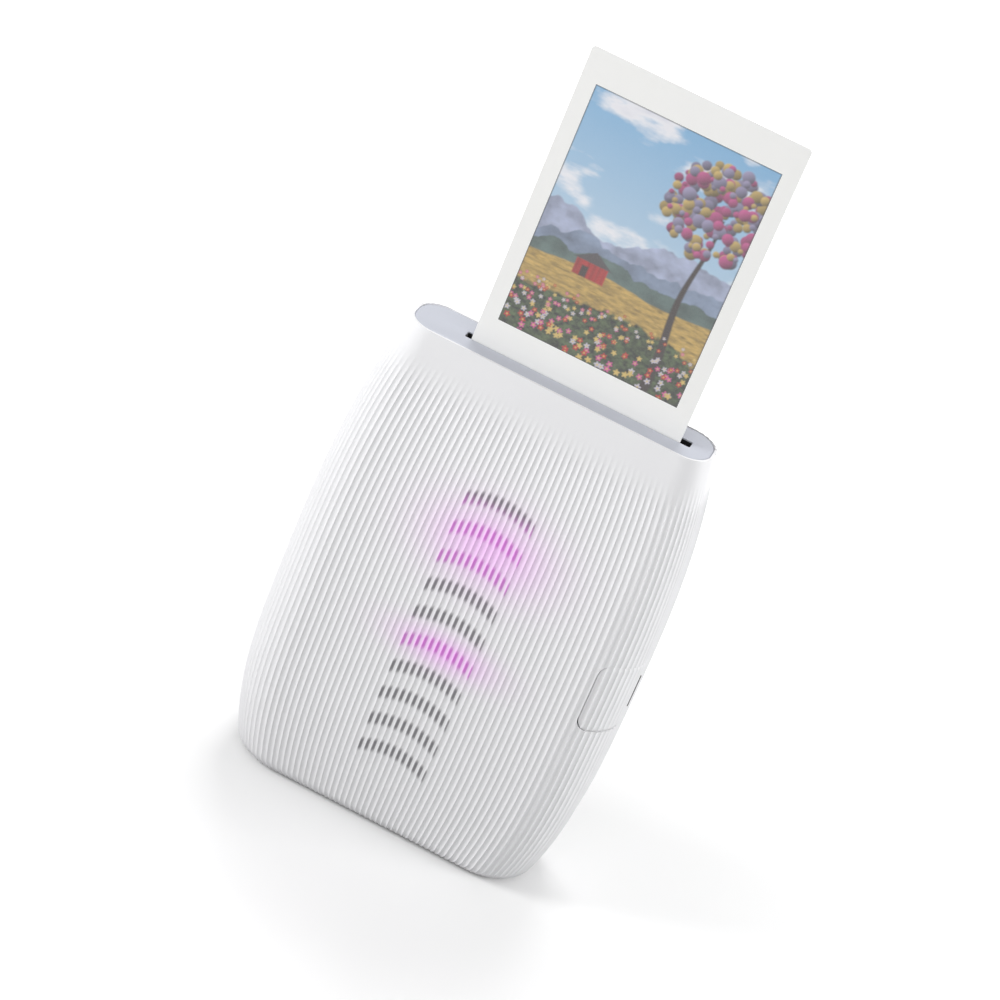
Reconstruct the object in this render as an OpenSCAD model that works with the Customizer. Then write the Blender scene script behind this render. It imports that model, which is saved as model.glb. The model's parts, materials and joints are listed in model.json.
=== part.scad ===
// Compact photo printer for small instant-film sheets.
// Millimetres. X to the right, Y to the back, Z up. The origin is the middle of the base.

/* [Body] */
// Height of the body, from the table to the top cap
body_h = 124.5; // [121:0.5:136]
// Greatest width, at the waist
body_w = 90.3; // [89:0.1:100]
// Width at the top
top_w = 77.6; // [76.5:0.1:84]
// Width at the base, before the edge is rounded
base_w = 79; // [77:0.5:88]
// Height of the widest place
waist_z = 48; // [40:1:60]
// Depth in front of the middle plane at the waist
front_waist = 17.4; // [17:0.1:21]
// Depth in front of the middle plane at the top
front_top = 9.1; // [9:0.1:11]
// Depth in front of the middle plane at the base
front_base = 15; // [14.5:0.1:17]
// Depth behind the middle plane at the waist
back_waist = 17.2; // [17:0.1:20]
// Depth behind the middle plane at the top
back_top = 7.4; // [7.2:0.1:9]
// Depth behind the middle plane at the base
back_base = 15; // [14.5:0.1:17]
// Corner radius in plan at the waist
corner_waist = 12; // [9:0.1:12.5]
// Corner radius in plan at the top
corner_top = 6.9; // [5:0.1:7.2]
// Corner radius in plan at the base
corner_base = 12.8; // [9:0.1:13]
// Radius of the edge along the base
base_edge = 3.5; // [2:0.1:4]
// Wall of the housings
wall = 1.8; // [1.4:0.1:2]

/* [Ribs] */
// Ribs round the front and both sides
rib_count = 84; // [60:2:96]
// Height of a rib above its groove
rib_rise = 0.3; // [0.1:0.05:0.4]
// Distance below the top where the ribs begin to fade in
rib_fade_top = 7; // [5:0.5:10]
// Length over which they fade in
rib_fade = 7; // [3:0.5:10]

/* [Print and slot] */
// Width of a film sheet
film_w = 54; // [52:0.1:55]
// Height of a film sheet
film_h = 86; // [84:0.1:87]
// Thickness of a film sheet
film_t = 0.3; // [0.2:0.05:0.4]
// Width of the picture
image_w = 46; // [40:0.5:48]
// Height of the picture
image_h = 62; // [56:0.5:64]
// White border above the picture
image_border = 8; // [5:0.5:10]
// Sideways place of the film in the body
film_x = 3.4; // [2.5:0.1:4.2]
// Place of the film's middle plane, front to back
film_y = -2.6; // [-3:0.1:-2.3]
// Part of the print that stands out of the slot
print_out = 77.4; // [70:0.1:79]
// How much wider the exit slot is than a sheet
slot_extra_w = 4.2; // [3:0.1:6]
// Opening of the exit slot, front to back
slot_d = 3.2; // [2.6:0.1:3.3]
// Thickness of the top cap
cap_t = 2; // [1.5:0.1:2.5]
// White lip of the housing round the top cap
cap_lip = 0.6; // [0.4:0.05:0.9]

/* [Film chamber] */
// How much wider the film pack is than a sheet
pack_extra_w = 7; // [6.5:0.1:7.4]
// How much taller the film pack is than a sheet
pack_extra_h = 6; // [5:0.1:6.4]
// Depth of the film pack
pack_d = 12.6; // [11.5:0.1:12.8]
// Height of the pack's underside
pack_z = 4.8; // [4.6:0.1:5.4]
// Walls of the chassis
chassis_t = 1.5; // [1.2:0.1:1.7]
// Unused sheets left in the pack
spare_sheets = 8; // [1:1:9]

/* [Film door] */
// How far the door reaches past the film pack on each side
door_margin = 1.2; // [0.9:0.1:1.6]
// Height of the door's top edge
door_top = 100.5; // [99.5:0.1:102]
// Radius of the door's rolled hinge edge
hinge_r = 1.2; // [1:0.05:1.3]
// Radius of the hinge pins
pin_r = 0.5; // [0.4:0.05:0.6]
// Width of the latch pad
latch_w = 14; // [10:0.5:18]
// Travel of the latch
latch_travel = 3; // [2:0.1:3.2]

/* [Power key] */
// Middle height of the key
key_z = 61.3; // [56:0.1:64]
// Height of the key
key_h = 18.5; // [14:0.1:22]
// Depth of the key's front edge, from the middle plane
key_front = 16.7; // [15:0.1:16.8]
// Depth of the key's rear edge, from the middle plane
key_back = 5.2; // [3:0.1:5.6]
// Corner radius of the key
key_r = 3; // [1.5:0.1:4]
// Length of the dark line on the key
mark_l = 9; // [5:0.1:12]
// Width of the dark line
mark_w = 0.4; // [0.3:0.05:0.6]
// Place of the dark line, front to back
mark_y = -4; // [-4.6:0.1:0]

/* [Drive] */
// Clearance of the spread rollers above the print head
nip_air = 1.55; // [0.6:0.05:2]
// Radius of the spread rollers
roller_r = 3.25; // [2.8:0.05:3.4]
// Gap between the two spread rollers
nip_gap = 0.5; // [0.45:0.05:0.7]
// Radius of the rollers' journals
journal_r = 1.5; // [1.2:0.05:1.7]
// Teeth of the roller gears, which set the size of every gear tooth
roller_teeth = 14; // [14:1:15]
// Teeth of an idler between the rollers and the reduction
idler_teeth = 20; // [18:1:20]
// Teeth of the large reduction wheels
wheel_teeth = 30; // [26:1:30]
// Teeth of the small reduction wheels
small_teeth = 12; // [11:1:13]
// Teeth of the motor pinion
pinion_teeth = 9; // [9:1:10]
// Width of a gear
gear_w = 2; // [1.5:0.1:2.1]
// Radius of the gear posts
post_r = 0.75; // [0.6:0.05:0.9]
// Motor thickness across its flats
motor_t = 8; // [7:0.1:8.2]
// Motor height
motor_h = 10; // [9:0.1:11]
// Motor length
motor_l = 16; // [14:0.5:18]

/* [Lights and boards] */
// Light pipes in the column
pipe_count = 10; // [6:1:11]
// Spacing of the light pipes
pipe_pitch = 8; // [6:0.1:8]
// Length of a light pipe across the column
pipe_w = 14; // [8:0.5:15]
// Height of a light pipe
pipe_h = 3.4; // [2:0.1:4.5]
// Height of the lowest light pipe
pipe_z = 22; // [20:0.5:24]
// Width of the battery
battery_w = 25; // [16:0.5:25.5]
// Height of the battery
battery_h = 50; // [40:0.5:52]
// Thickness of the battery
battery_t = 5; // [4:0.1:5.3]
// Thickness of the circuit boards
board_t = 1; // [0.8:0.1:1.2]
// Height of the charging socket's middle
socket_z = 30; // [20:0.5:40]

/* [Fits] */
// Gap between pieces that come apart
gap = 0.25; // [0.2:0.01:0.3]
// Gap round the power key
key_gap = 0.22; // [0.21:0.01:0.3]
// Radial clearance of a running shaft or pin
run = 0.05; // [0.02:0.01:0.1]
// Thinning of gear teeth for free running
backlash = 0.1; // [0.06:0.01:0.14]

/* [Hidden] */
$fn = 48;

// The form of the body. Width and depths swell from the top and the base to the waist
// by a power of the distance from it.
width_power = 3;
depth_power = 2.3;
// The parting surface runs up the rear corners, this many degrees round them.
parting_angle = 15;
// How far a cutter runs past what it cuts
overlap = 1;

function reach(z) = z > waist_z ? (z - waist_z) / (body_h - waist_z) : (waist_z - z) / waist_z;
function swell(z, top, waist, base, power) =
    waist - (waist - (z > waist_z ? top : base)) * pow(reach(z), power);
function half_width(z) = swell(z, top_w / 2, body_w / 2, base_w / 2, width_power);
function front_depth(z) = swell(z, front_top, front_waist, front_base, depth_power);
function back_depth(z) = swell(z, back_top, back_waist, back_base, depth_power);
function corner(z) = swell(z, corner_top, corner_waist, corner_base, depth_power);
// Inset of the rounded edge along the base
function edge_inset(z) =
    z < base_edge ? base_edge - sqrt(max(0, pow(base_edge, 2) - pow(base_edge - z, 2))) : 0;
// [half width, depth in front, depth behind, corner radius] at height z, inset by d
function section(z, d = 0) = [
    half_width(z) - d - edge_inset(z),
    front_depth(z) - d - edge_inset(z),
    back_depth(z) - d - edge_inset(z),
    corner(z) - d - edge_inset(z)
];

// Lengths along half the outline: front, front corner, side, rear corner, back
function run_front(c) = c[0] - c[3];
function run_corner(c) = c[3] * PI / 2;
function run_side(c) = c[1] + c[2] - 2 * c[3];
function to_side(c) = run_front(c) + run_corner(c);
function to_rear(c) = to_side(c) + run_side(c);
function to_parting(c) = to_rear(c) + c[3] * parting_angle * PI / 180;

// Direction outward at a distance s along the right half, in degrees from straight front
function facing(c, s) =
    s < run_front(c) ? 0
    : s < to_side(c) ? (s - run_front(c)) / c[3] * 180 / PI
    : s < to_rear(c) ? 90
    : s < to_rear(c) + run_corner(c) ? 90 + (s - to_rear(c)) / c[3] * 180 / PI
    : 180;
// Centre of the curve that the outline follows there; a straight counts as a moving centre
function pivot(c, s) =
    s < run_front(c) ? [s, c[3] - c[1]]
    : s < to_side(c) ? [c[0] - c[3], c[3] - c[1]]
    : s < to_rear(c) ? [c[0] - c[3], c[3] - c[1] + s - to_side(c)]
    : s < to_rear(c) + run_corner(c) ? [c[0] - c[3], c[2] - c[3]]
    : [c[0] - c[3] - (s - to_rear(c) - run_corner(c)), c[2] - c[3]];
// The outline's point at a signed distance from the middle of the front, raised by h
function outline_point(c, s, h = 0) =
    let (a = facing(c, abs(s)), p = pivot(c, abs(s)), r = c[3] + h)
    [sign(s) * (p[0] + r * sin(a)), p[1] - r * cos(a)];

// Closed solid between rings of points, all with the same count. The ends are fans about
// the ring's middle, or single faces on a form that curls round its middle.
module lofted(rings, fans = true) {
    rows = len(rings);
    n = len(rings[0]);
    last = (rows - 1) * n;
    middles = [for (ring = [rings[0], rings[rows - 1]]) [for (p = ring) 1] * ring / n];
    points = concat([for (ring = rings) each ring], middles);
    sides = [
        for (i = [0:rows - 2]) for (j = [0:n - 1]) each [
            [i * n + j, (i + 1) * n + (j + 1) % n, i * n + (j + 1) % n],
            [i * n + j, (i + 1) * n + j, (i + 1) * n + (j + 1) % n]
        ]
    ];
    ends = fans
        ? [for (j = [0:n - 1]) each [
            [j, (j + 1) % n, rows * n],
            [last + (j + 1) % n, last + j, rows * n + 1]
        ]]
        : [[for (j = [0:n - 1]) j], [for (j = [n - 1:-1:0]) last + j]];
    polyhedron(fans ? points : [for (ring = rings) each ring], concat(sides, ends), convexity = 6);
}

// Heights of the rings: close together in the rounded base edge and where the ribs fade
edge_rows = [for (a = [28, 56, 90]) base_edge * (1 - cos(a))];
rib_high = body_h - rib_fade_top - rib_fade;
belly_rows = concat(
    [for (t = [0.26, 0.57, 1]) base_edge + (waist_z - base_edge) * t],
    [for (t = [0.43, 0.73, 1]) waist_z + (rib_high - waist_z) * t]
);
fade_rows = [
    body_h - rib_fade_top - rib_fade / 2,
    body_h - rib_fade_top,
    body_h
];
body_rows = concat(edge_rows, belly_rows, fade_rows);
bottom_z = edge_rows[0];

// Each rib is a groove, a shoulder and a shoulder, so that its crest is broad
rib_steps = 3;
rib_profile = [0, 1, 1];
rib_columns = rib_count * rib_steps;
function fade_in(z) =
    let (t = min(1, max(0, (body_h - rib_fade_top - z) / rib_fade))) t * t * (3 - 2 * t);
function rib_place(k) = (floor(k / rib_steps) + [0, 0.32, 0.68][k % rib_steps]) / rib_count * 2 - 1;
function rib_height(k, z) = -rib_rise * (1 - rib_profile[k % rib_steps]) * fade_in(z);
function rib_point(k, z) =
    let (c = section(z)) outline_point(c, rib_place(k) * to_parting(c), rib_height(k, z));

// Places along the half outline: 0 to 1 the front, to 2 its corner, to 3 the side, to 4 the
// rear corner and to 5 the back, so that sections of all sizes answer to one another
function reach_at(c, q) =
    q <= 1 ? run_front(c) * q
    : q <= 2 ? run_front(c) + run_corner(c) * (q - 1)
    : q <= 3 ? to_side(c) + run_side(c) * (q - 2)
    : q <= 4 ? to_rear(c) + run_corner(c) * (q - 3)
    : to_rear(c) + run_corner(c) + run_front(c) * (q - 4);
function at_place(c, q) = outline_point(c, sign(q) * reach_at(c, abs(q)));
parting = 3 + parting_angle / 90;
half_places = concat(
    [0.25, 0.5, 0.75],
    [for (k = [0:6]) 1 + k / 6],
    [2.5, 3, parting]
);
front_places = concat([for (k = [len(half_places) - 1:-1:0]) -half_places[k]], [0], half_places);

// Triangles between two lines of points, given by index and by place, in order
function zip_pick(t, b) = len([for (j = [0:len(b) - 2]) if ((b[j] + b[j + 1]) / 2 < t) 1]);
function zipped(ai, at, bi, bt, flip) =
    let (pick = [for (i = [0:len(ai) - 2]) zip_pick((at[i] + at[i + 1]) / 2, bt)])
    concat(
        [for (i = [0:len(ai) - 2]) let (b = bi[pick[i]])
            flip ? [ai[i], b, ai[i + 1]] : [ai[i], ai[i + 1], b]],
        [for (j = [0:len(bi) - 2]) let (a = ai[len([for (p = pick) if (p <= j) 1])])
            flip ? [a, bi[j], bi[j + 1]] : [a, bi[j + 1], bi[j]]]
    );

// Everything behind the parting surface
rear_places = concat([parting], [for (k = [1:5]) parting + (4 - parting) * k / 5], [4.33, 4.67]);
function rear_ring(z, d = 0, back_off = 0) =
    let (c = section(z, d),
        half = [for (q = rear_places)
            outline_point(c, reach_at(c, q) + (q == parting ? back_off : 0))])
    concat(
        [for (p = half) [p[0], p[1], z]],
        [[0, c[2], z]],
        [for (k = [len(half) - 1:-1:0]) [-half[k][0], half[k][1], z]]
    );
module rear_form() {
    lofted([for (z = body_rows) rear_ring(z, 0, gap / 2)]);
}

// The space inside the walls, from the base flange to the underside of the top cap
floor_t = 1.9;
around_places = concat(
    front_places,
    [for (q = [3.5, 4, 4.5]) q],
    [5],
    [for (q = [4.5, 4, 3.5]) -q]
);
function whole_ring(z, d) =
    let (c = section(z, d)) [for (q = around_places) let (p = at_place(c, q)) [p[0], p[1], z]];
cavity_low = base_edge + 1;
cavity_rows = concat(
    [floor_t, floor_t + 1],
    [for (z = belly_rows) if (z > cavity_low) z],
    [body_h - rib_fade_top, body_h - cap_t]
);
module cavity(d) {
    lofted([for (z = cavity_rows) whole_ring(z, d)]);
}

base_section = section(base_edge, base_edge);
// The ribbed wall in front of the parting surface, closed by a rim at the top, one at the
// bottom and a joint face at each end
wall_rows = concat(
    [[bottom_z, base_section], [floor_t, base_section]],
    [for (z = cavity_rows) [z, section(z, wall)]],
    [for (z = [body_h - cap_t, body_h]) [z, section(body_h, cap_lip)]]
);
module ribbed_wall() {
    n = rib_columns + 1;
    m = len(front_places);
    rows = len(body_rows);
    deep = len(wall_rows);
    inner = rows * n;
    outer_at = [for (k = [0:n - 1]) rib_place(k)];
    function inner_at(c) = [for (q = front_places) sign(q) * reach_at(c, abs(q)) / to_parting(c)];
    function row(i) = [for (k = [0:n - 1]) i * n + k];
    function inside(i) = [for (k = [0:m - 1]) inner + i * m + k];
    up = [for (i = [0:rows - 1]) body_rows[i]];
    up_in = [for (i = [0:deep - 1]) wall_rows[i][0]];
    polyhedron(
        concat(
            [for (z = body_rows) for (k = [0:n - 1]) let (p = rib_point(k, z)) [p[0], p[1], z]],
            [for (w = wall_rows) for (q = front_places) let (p = at_place(w[1], q)) [p[0], p[1], w[0]]]
        ),
        concat(
            [for (i = [0:rows - 2]) for (j = [0:n - 2]) each [
                [i * n + j, (i + 1) * n + j + 1, i * n + j + 1],
                [i * n + j, (i + 1) * n + j, (i + 1) * n + j + 1]
            ]],
            [for (i = [0:deep - 2]) for (j = [0:m - 2]) each [
                [inner + i * m + j, inner + i * m + j + 1, inner + (i + 1) * m + j + 1],
                [inner + i * m + j, inner + (i + 1) * m + j + 1, inner + (i + 1) * m + j]
            ]],
            zipped(row(0), outer_at, inside(0), inner_at(section(bottom_z)), false),
            zipped(row(rows - 1), outer_at, inside(deep - 1), inner_at(section(body_h)), true),
            zipped([for (i = [0:rows - 1]) i * n], up, [for (i = [0:deep - 1]) inner + i * m], up_in, true),
            zipped(
                [for (i = [0:rows - 1]) i * n + n - 1], up,
                [for (i = [0:deep - 1]) inner + i * m + m - 1], up_in, false
            )
        ),
        convexity = 8
    );
}

// Rounded rectangle of a body section
module outline(c) {
    translate([-c[0], c[3] - c[1]]) square([2 * c[0], c[1] + c[2] - 2 * c[3]]);
    translate([c[3] - c[0], -c[1]]) square([2 * (c[0] - c[3]), c[1] + c[2]]);
    for (x = [c[3] - c[0], c[0] - c[3]]) {
        translate([x, c[3] - c[1]]) circle(c[3]);
        translate([x, c[2] - c[3]]) circle(c[3]);
    }
}
module rounded_plate(c, z0, z1) {
    translate([0, 0, z0]) linear_extrude(z1 - z0) outline(c);
}

// Block between two corners
module block(from, to) {
    translate(from) cube(to - from);
}
module rod_x(y, z, x0, x1, r) {
    translate([x0, y, z]) rotate([0, 90, 0]) cylinder(x1 - x0, r, r);
}
module rod_y(x, z, y0, y1, r) {
    translate([x, y0, z]) rotate([-90, 0, 0]) cylinder(y1 - y0, r, r);
}
module rod_z(x, y, z0, z1, r) {
    translate([x, y, z0]) cylinder(z1 - z0, r, r);
}
// Rounded rectangle in the X-Z plane, from y0 to y1
module window_y(x0, x1, z0, z1, y0, y1, r) {
    translate([0, y1, 0]) rotate([90, 0, 0]) linear_extrude(y1 - y0) rounded(x0, x1, z0, z1, r);
}
module rounded(x0, x1, y0, y1, r) {
    translate([x0 + r, y0]) square([x1 - x0 - 2 * r, y1 - y0]);
    translate([x0, y0 + r]) square([x1 - x0, y1 - y0 - 2 * r]);
    for (x = [x0 + r, x1 - r]) for (y = [y0 + r, y1 - r]) translate([x, y]) circle(r);
}

// Clearances and laps used throughout
sink = 0.1;
air = 0.4;

// Places
film_front = film_y - film_t / 2;
film_back = film_y + film_t / 2;
film_top = body_h + print_out;
film_bottom = film_top - film_h;
slot_w = film_w + slot_extra_w;
slot_lead = 0.2;
slot_front = film_front - slot_lead;
slot_back = slot_front + slot_d;
slot_shift = 0.4;
slot_x = film_x + slot_shift;

pack_w = film_w + pack_extra_w;
pack_h = film_h + pack_extra_h;
pack_ahead = 1.6;
pack_front = film_y - pack_ahead;
pack_back = pack_front + pack_d;
pack_left = film_x - pack_w / 2;
pack_right = film_x + pack_w / 2;
pack_top = pack_z + pack_h;
pack_wall = 0.9;

frame_left = pack_left - air - chassis_t;
frame_right = pack_right + air + chassis_t;
frame_face = 1.2;
frame_back = pack_front - air;
frame_front = frame_back - frame_face;
frame_past = 0.6;
frame_rear = pack_back + frame_past;
head_rise = 1.4;
head_h = 5;
head_low = pack_top + head_rise;
head_high = head_low + head_h;
nip_z = head_high + nip_air + roller_r;
nip_above = 4.5;
frame_top = nip_z - nip_above;
foot_z = floor_t;

hinge_below = 0.2;
hinge_z = pack_z - hinge_below;
hinge_y = back_depth(hinge_z) - hinge_r;
door_left = pack_left - door_margin;
door_right = pack_right + door_margin;
door_corner = 4;
ear_w = 4;
ear_x = 20;
ear_places = [film_x - ear_x, film_x + ear_x];
pin_past = 3;
pin_end = 0.2;

roller_gap_y = nip_gap / 2 + roller_r;
front_roller_y = film_y - roller_gap_y;
back_roller_y = film_y + roller_gap_y;
gear_module = 2 * roller_gap_y / roller_teeth;
bearing_t = 2;
bearing_left_x = frame_left;
bearing_right_x = frame_right - bearing_t;
roller_left = bearing_left_x + bearing_t + gap;
roller_right = bearing_right_x - gap;
bearing_rim = 1.3;
bearing_back = back_roller_y + journal_r + bearing_rim;

plane_gap = 0.3;
plane_a = frame_left - 1.2;
plane_b = plane_a - gear_w - plane_gap;
plane_c = plane_b - gear_w - plane_gap;
plate_t = 1.2;
plate_x = plane_c - gear_w - air;
shaft_end = 0.2;

// Gear centres, each [y, z], worked out downward from the front roller
function pitch_r(n) = n * gear_module / 2;
roller_pitch = roller_gap_y;
front_axis = [front_roller_y, nip_z];
back_axis = [back_roller_y, nip_z];
idler_axis = front_axis - [0, roller_pitch + pitch_r(idler_teeth) + run];
upper_rise = pitch_r(idler_teeth) + pitch_r(small_teeth) + run;
train_back = 0.5;
train_y = film_y + train_back;
upper_axis = idler_axis + [
    train_y - idler_axis[0],
    -sqrt(pow(upper_rise, 2) - pow(train_y - idler_axis[0], 2))
];
lower_axis = upper_axis - [0, pitch_r(wheel_teeth) + pitch_r(small_teeth) + run];
motor_y = frame_front - gap - motor_t / 2;
motor_drop = pitch_r(wheel_teeth) + pitch_r(pinion_teeth) + run;
motor_axis = [
    motor_y,
    lower_axis[1] - sqrt(pow(motor_drop, 2) - pow(lower_axis[0] - motor_y, 2))
];
motor_left = pack_left;
motor_right = motor_left + motor_l;

// The charging socket stands at the left wall and the main board behind it
socket_t = 3.2;
socket_w = 9;
socket_wall = 0.4;
socket_out = 5.3;
socket_air = 0.75;
socket_left = wall + socket_air - half_width(socket_z);
board_air = 0.6;
board_front = frame_front - board_air - board_t;
board_low = 9;
board_below = 3;
board_high = motor_axis[1] - motor_h / 2 - board_below;
board_left = socket_left + socket_out;
board_right = frame_right;
socket_y = board_front - socket_t / 2;
light_edge = 2;
light_half = pipe_w / 2 + light_edge;
light_gap = 2.6;
light_margin = 3;
light_back = board_front - light_gap;
light_front = light_back - board_t;
light_left = film_x - light_half;
light_right = film_x + light_half;
light_low = pipe_z - pipe_h / 2 - light_margin;
light_high = pipe_z + pipe_pitch * (pipe_count - 1) + pipe_h / 2 + light_margin;

screw_r = 0.8;
screw_head_r = 1.75;
screw_head_t = 0.9;
screw_sink = screw_head_t + sink;
boss_r = 2.2;
bore_deep = 6;
boss_inset = 6.8;
boss_high = pack_top - boss_inset;
boss_lift = 1.6;
boss_low = pack_z + boss_lift;
boss_left = -20;
boss_right = 22;
boss_places = [for (z = [boss_high, boss_low]) for (x = [boss_left, boss_right]) [x, z]];
foot_r = 3;
foot_reach = 21;
foot_y = 2;
foot_places = [[film_x - foot_reach, foot_y], [film_x + foot_reach, foot_y]];

// Screw with a crossed head: the middle of its face at the origin, its shank up Z
cross_l = 2.4;
cross_w = 0.4;
cross_deep = 0.4;
module screw(l) {
    difference() {
        cylinder(screw_head_t, screw_head_r, screw_head_r);
        for (size = [[cross_l, cross_w], [cross_w, cross_l]]) block(
            [-size[0] / 2, -size[1] / 2, -overlap],
            [size[0] / 2, size[1] / 2, cross_deep]
        );
    }
    translate([0, 0, screw_head_t]) cylinder(l - screw_head_t, screw_r, screw_r);
}

// ---- cases ----

// The flush key is cut out by walls square to the surface, round a rectangle with round corners
key_section = section(key_z);
function corner_of_front() = key_section[3] - key_section[1];
function reach_of(y) =
    y > corner_of_front() ? to_side(key_section) + y - corner_of_front()
    : run_front(key_section)
        + key_section[3] * acos((corner_of_front() - y) / key_section[3]) * PI / 180;
key_start = reach_of(-key_front);
key_end = reach_of(key_back);
corner_steps = 5;
straight_steps = 12;
least_half = 0.02;
function key_stations(g) = let (r = key_r + g, a = key_start - g, b = key_end + g) concat(
    [for (k = [0:corner_steps - 1]) a + r * (1 - cos(90 * k / corner_steps))],
    [for (k = [0:straight_steps]) a + r + (b - a - 2 * r) * k / straight_steps],
    [for (k = [1:corner_steps]) b - r + r * sin(90 * k / corner_steps)]
);
function key_half(s, g) =
    let (r = key_r + g, a = key_start - g, b = key_end + g,
        d = s < a + r ? a + r - s : s > b - r ? s - b + r : 0)
    max(least_half, key_h / 2 + g - r + sqrt(max(0, r * r - d * d)));
// Cutter for the key's outline, grown by g, through the wall
cutter_in = 3;
cutter_out = 2;
module key_cutter(g) {
    lofted([for (s = key_stations(g))
        let (p = outline_point(key_section, s, -cutter_in),
            q = outline_point(key_section, s, cutter_out), t = key_half(s, g))
        [
            [p[0], p[1], key_z - t], [p[0], p[1], key_z + t],
            [q[0], q[1], key_z + t], [q[0], q[1], key_z - t]
        ]
    ]);
}

module socket_opening(g) {
    block(
        [-body_w, socket_y - socket_t / 2 - g, socket_z - socket_w / 2 - g],
        [board_left, socket_y + socket_t / 2 + g, socket_z + socket_w / 2 + g]
    );
}

module front_housing() {
    color("white") {
        difference() {
            ribbed_wall();
            key_cutter(key_gap);
            socket_opening(air);
        }
        for (p = boss_places) screw_boss(p[0], p[1]);
    }
}
// Boss that stands on the front wall and takes a screw from the chassis
module screw_boss(x, z) {
    difference() {
        rod_y(x, z, -front_depth(z) + wall / 2, frame_front, boss_r);
        rod_y(x, z, frame_front - bore_deep, frame_front + overlap, screw_r + run);
    }
}

snap_heights = [26, 58, 90];
lug_t = 1.25;
lug_air = 0.8;
lug_h = 6;
lug_ahead = 3.5;
lug_behind = 3;
door_drop = 1.55;
bulge_room = 0.4;
module rear_housing() {
    color("white") {
        difference() {
            rear_form();
            cavity(wall);
            rounded_plate(section(body_h, cap_lip), body_h - cap_t, body_h + overlap);
            rounded_plate(base_section, -overlap, floor_t + overlap / 2);
            door_opening(gap);
            // Room below the hinge for the bulge of the open door
            block(
                [door_left - gap, hinge_y + bulge_room, hinge_z - door_drop],
                [door_right + gap, body_w, hinge_z]
            );
        }
        for (z = snap_heights) for (side = [-1, 1]) snap_lug(z, side);
        for (x = ear_places) hinge_ear(x);
    }
}
// Lug that reaches forward inside the front housing's side
module snap_lug(z, side) {
    out = half_width(z) - wall - lug_air;
    x = side > 0 ? out - lug_t : -out;
    y = outline_point(section(z), to_parting(section(z)))[1];
    block([x, y - lug_ahead, z - lug_h / 2], [x + lug_t, y + lug_behind, z + lug_h / 2]);
}
module hinge_ear(x) {
    difference() {
        union() {
            rod_x(hinge_y, hinge_z, x - ear_w / 2, x + ear_w / 2, hinge_r);
            block(
                [x - ear_w / 2, hinge_y - hinge_r, floor_t - sink],
                [x + ear_w / 2, hinge_y + hinge_r / 2, hinge_z]
            );
        }
        rod_x(hinge_y, hinge_z, x - ear_w, x + ear_w, pin_r);
    }
}
// The door's outline, grown by g: straight above the hinge, and rolled round its axis
module door_opening(g) {
    difference() {
        window_y(door_left - g, door_right + g, 0, door_top + g, 0, body_w, door_corner);
        block([-body_w, -overlap, -overlap], [body_w, body_w + overlap, hinge_z]);
    }
    rod_x(hinge_y, hinge_z, door_left - g, door_right + g, hinge_r + g);
}

cap_air = 0.12;
cap_bevel = 0.28;
bevel_low = 0.4;
guide_deep = 9;
guide_wall = 1.2;
guide_z = body_h - guide_deep;
slot_r = 0.5;
module top_cap() {
    color("lightsteelblue") difference() {
        union() {
            cap_layer(cap_air, cap_t, bevel_low - sink);
            hull() {
                cap_layer(cap_air, bevel_low, bevel_low - sink);
                cap_layer(cap_air + cap_bevel, sink, 0);
            }
            block(
                [slot_x - slot_w / 2 - guide_wall, slot_front - guide_wall, guide_z],
                [slot_x + slot_w / 2 + guide_wall, slot_back + guide_wall, body_h - cap_t / 2]
            );
        }
        translate([0, 0, guide_z - overlap]) linear_extrude(guide_deep + 2 * overlap)
            rounded(slot_x - slot_w / 2, slot_x + slot_w / 2, slot_front, slot_back, slot_r);
    }
}
// Layer of the cap inside its lip, between two depths below the top
module cap_layer(inset, low, high) {
    rounded_plate(section(body_h, cap_lip + inset), body_h - low, body_h - high);
}
seal_air = 0.5;
seal_rise = 1;
seal_h = 3;
module light_seal() {
    color("black") block(
        [film_x - film_w / 2, film_back + seal_air, guide_z + seal_rise],
        [film_x + film_w / 2, slot_back, guide_z + seal_rise + seal_h]
    );
}

module base_cap() {
    color("white") difference() {
        rounded_plate(section(base_edge, base_edge + gap), 0, floor_t);
        for (p = foot_places) {
            rod_z(p[0], p[1], -overlap, floor_t + overlap, screw_r + run);
            rod_z(p[0], p[1], -overlap, screw_sink, screw_head_r + run);
        }
    }
}
module base_screws() {
    color("silver") for (p = foot_places)
        translate([p[0], p[1], sink]) screw(pack_z - air - sink);
}

// ---- frame ----

cheek_front = motor_axis[0] - motor_t / 4;
cheek_reach = 2.4;
cheek_edge = 3;
pillar_r = 1.4;
pillar_reach = 8.2;
pillar_z = (upper_axis[1] + lower_axis[1]) / 2;
pillar_places = [for (side = [-1, 1]) [train_y + side * pillar_reach, pillar_z]];
neck_r = 2.2;
stud_r = 2;

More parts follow.
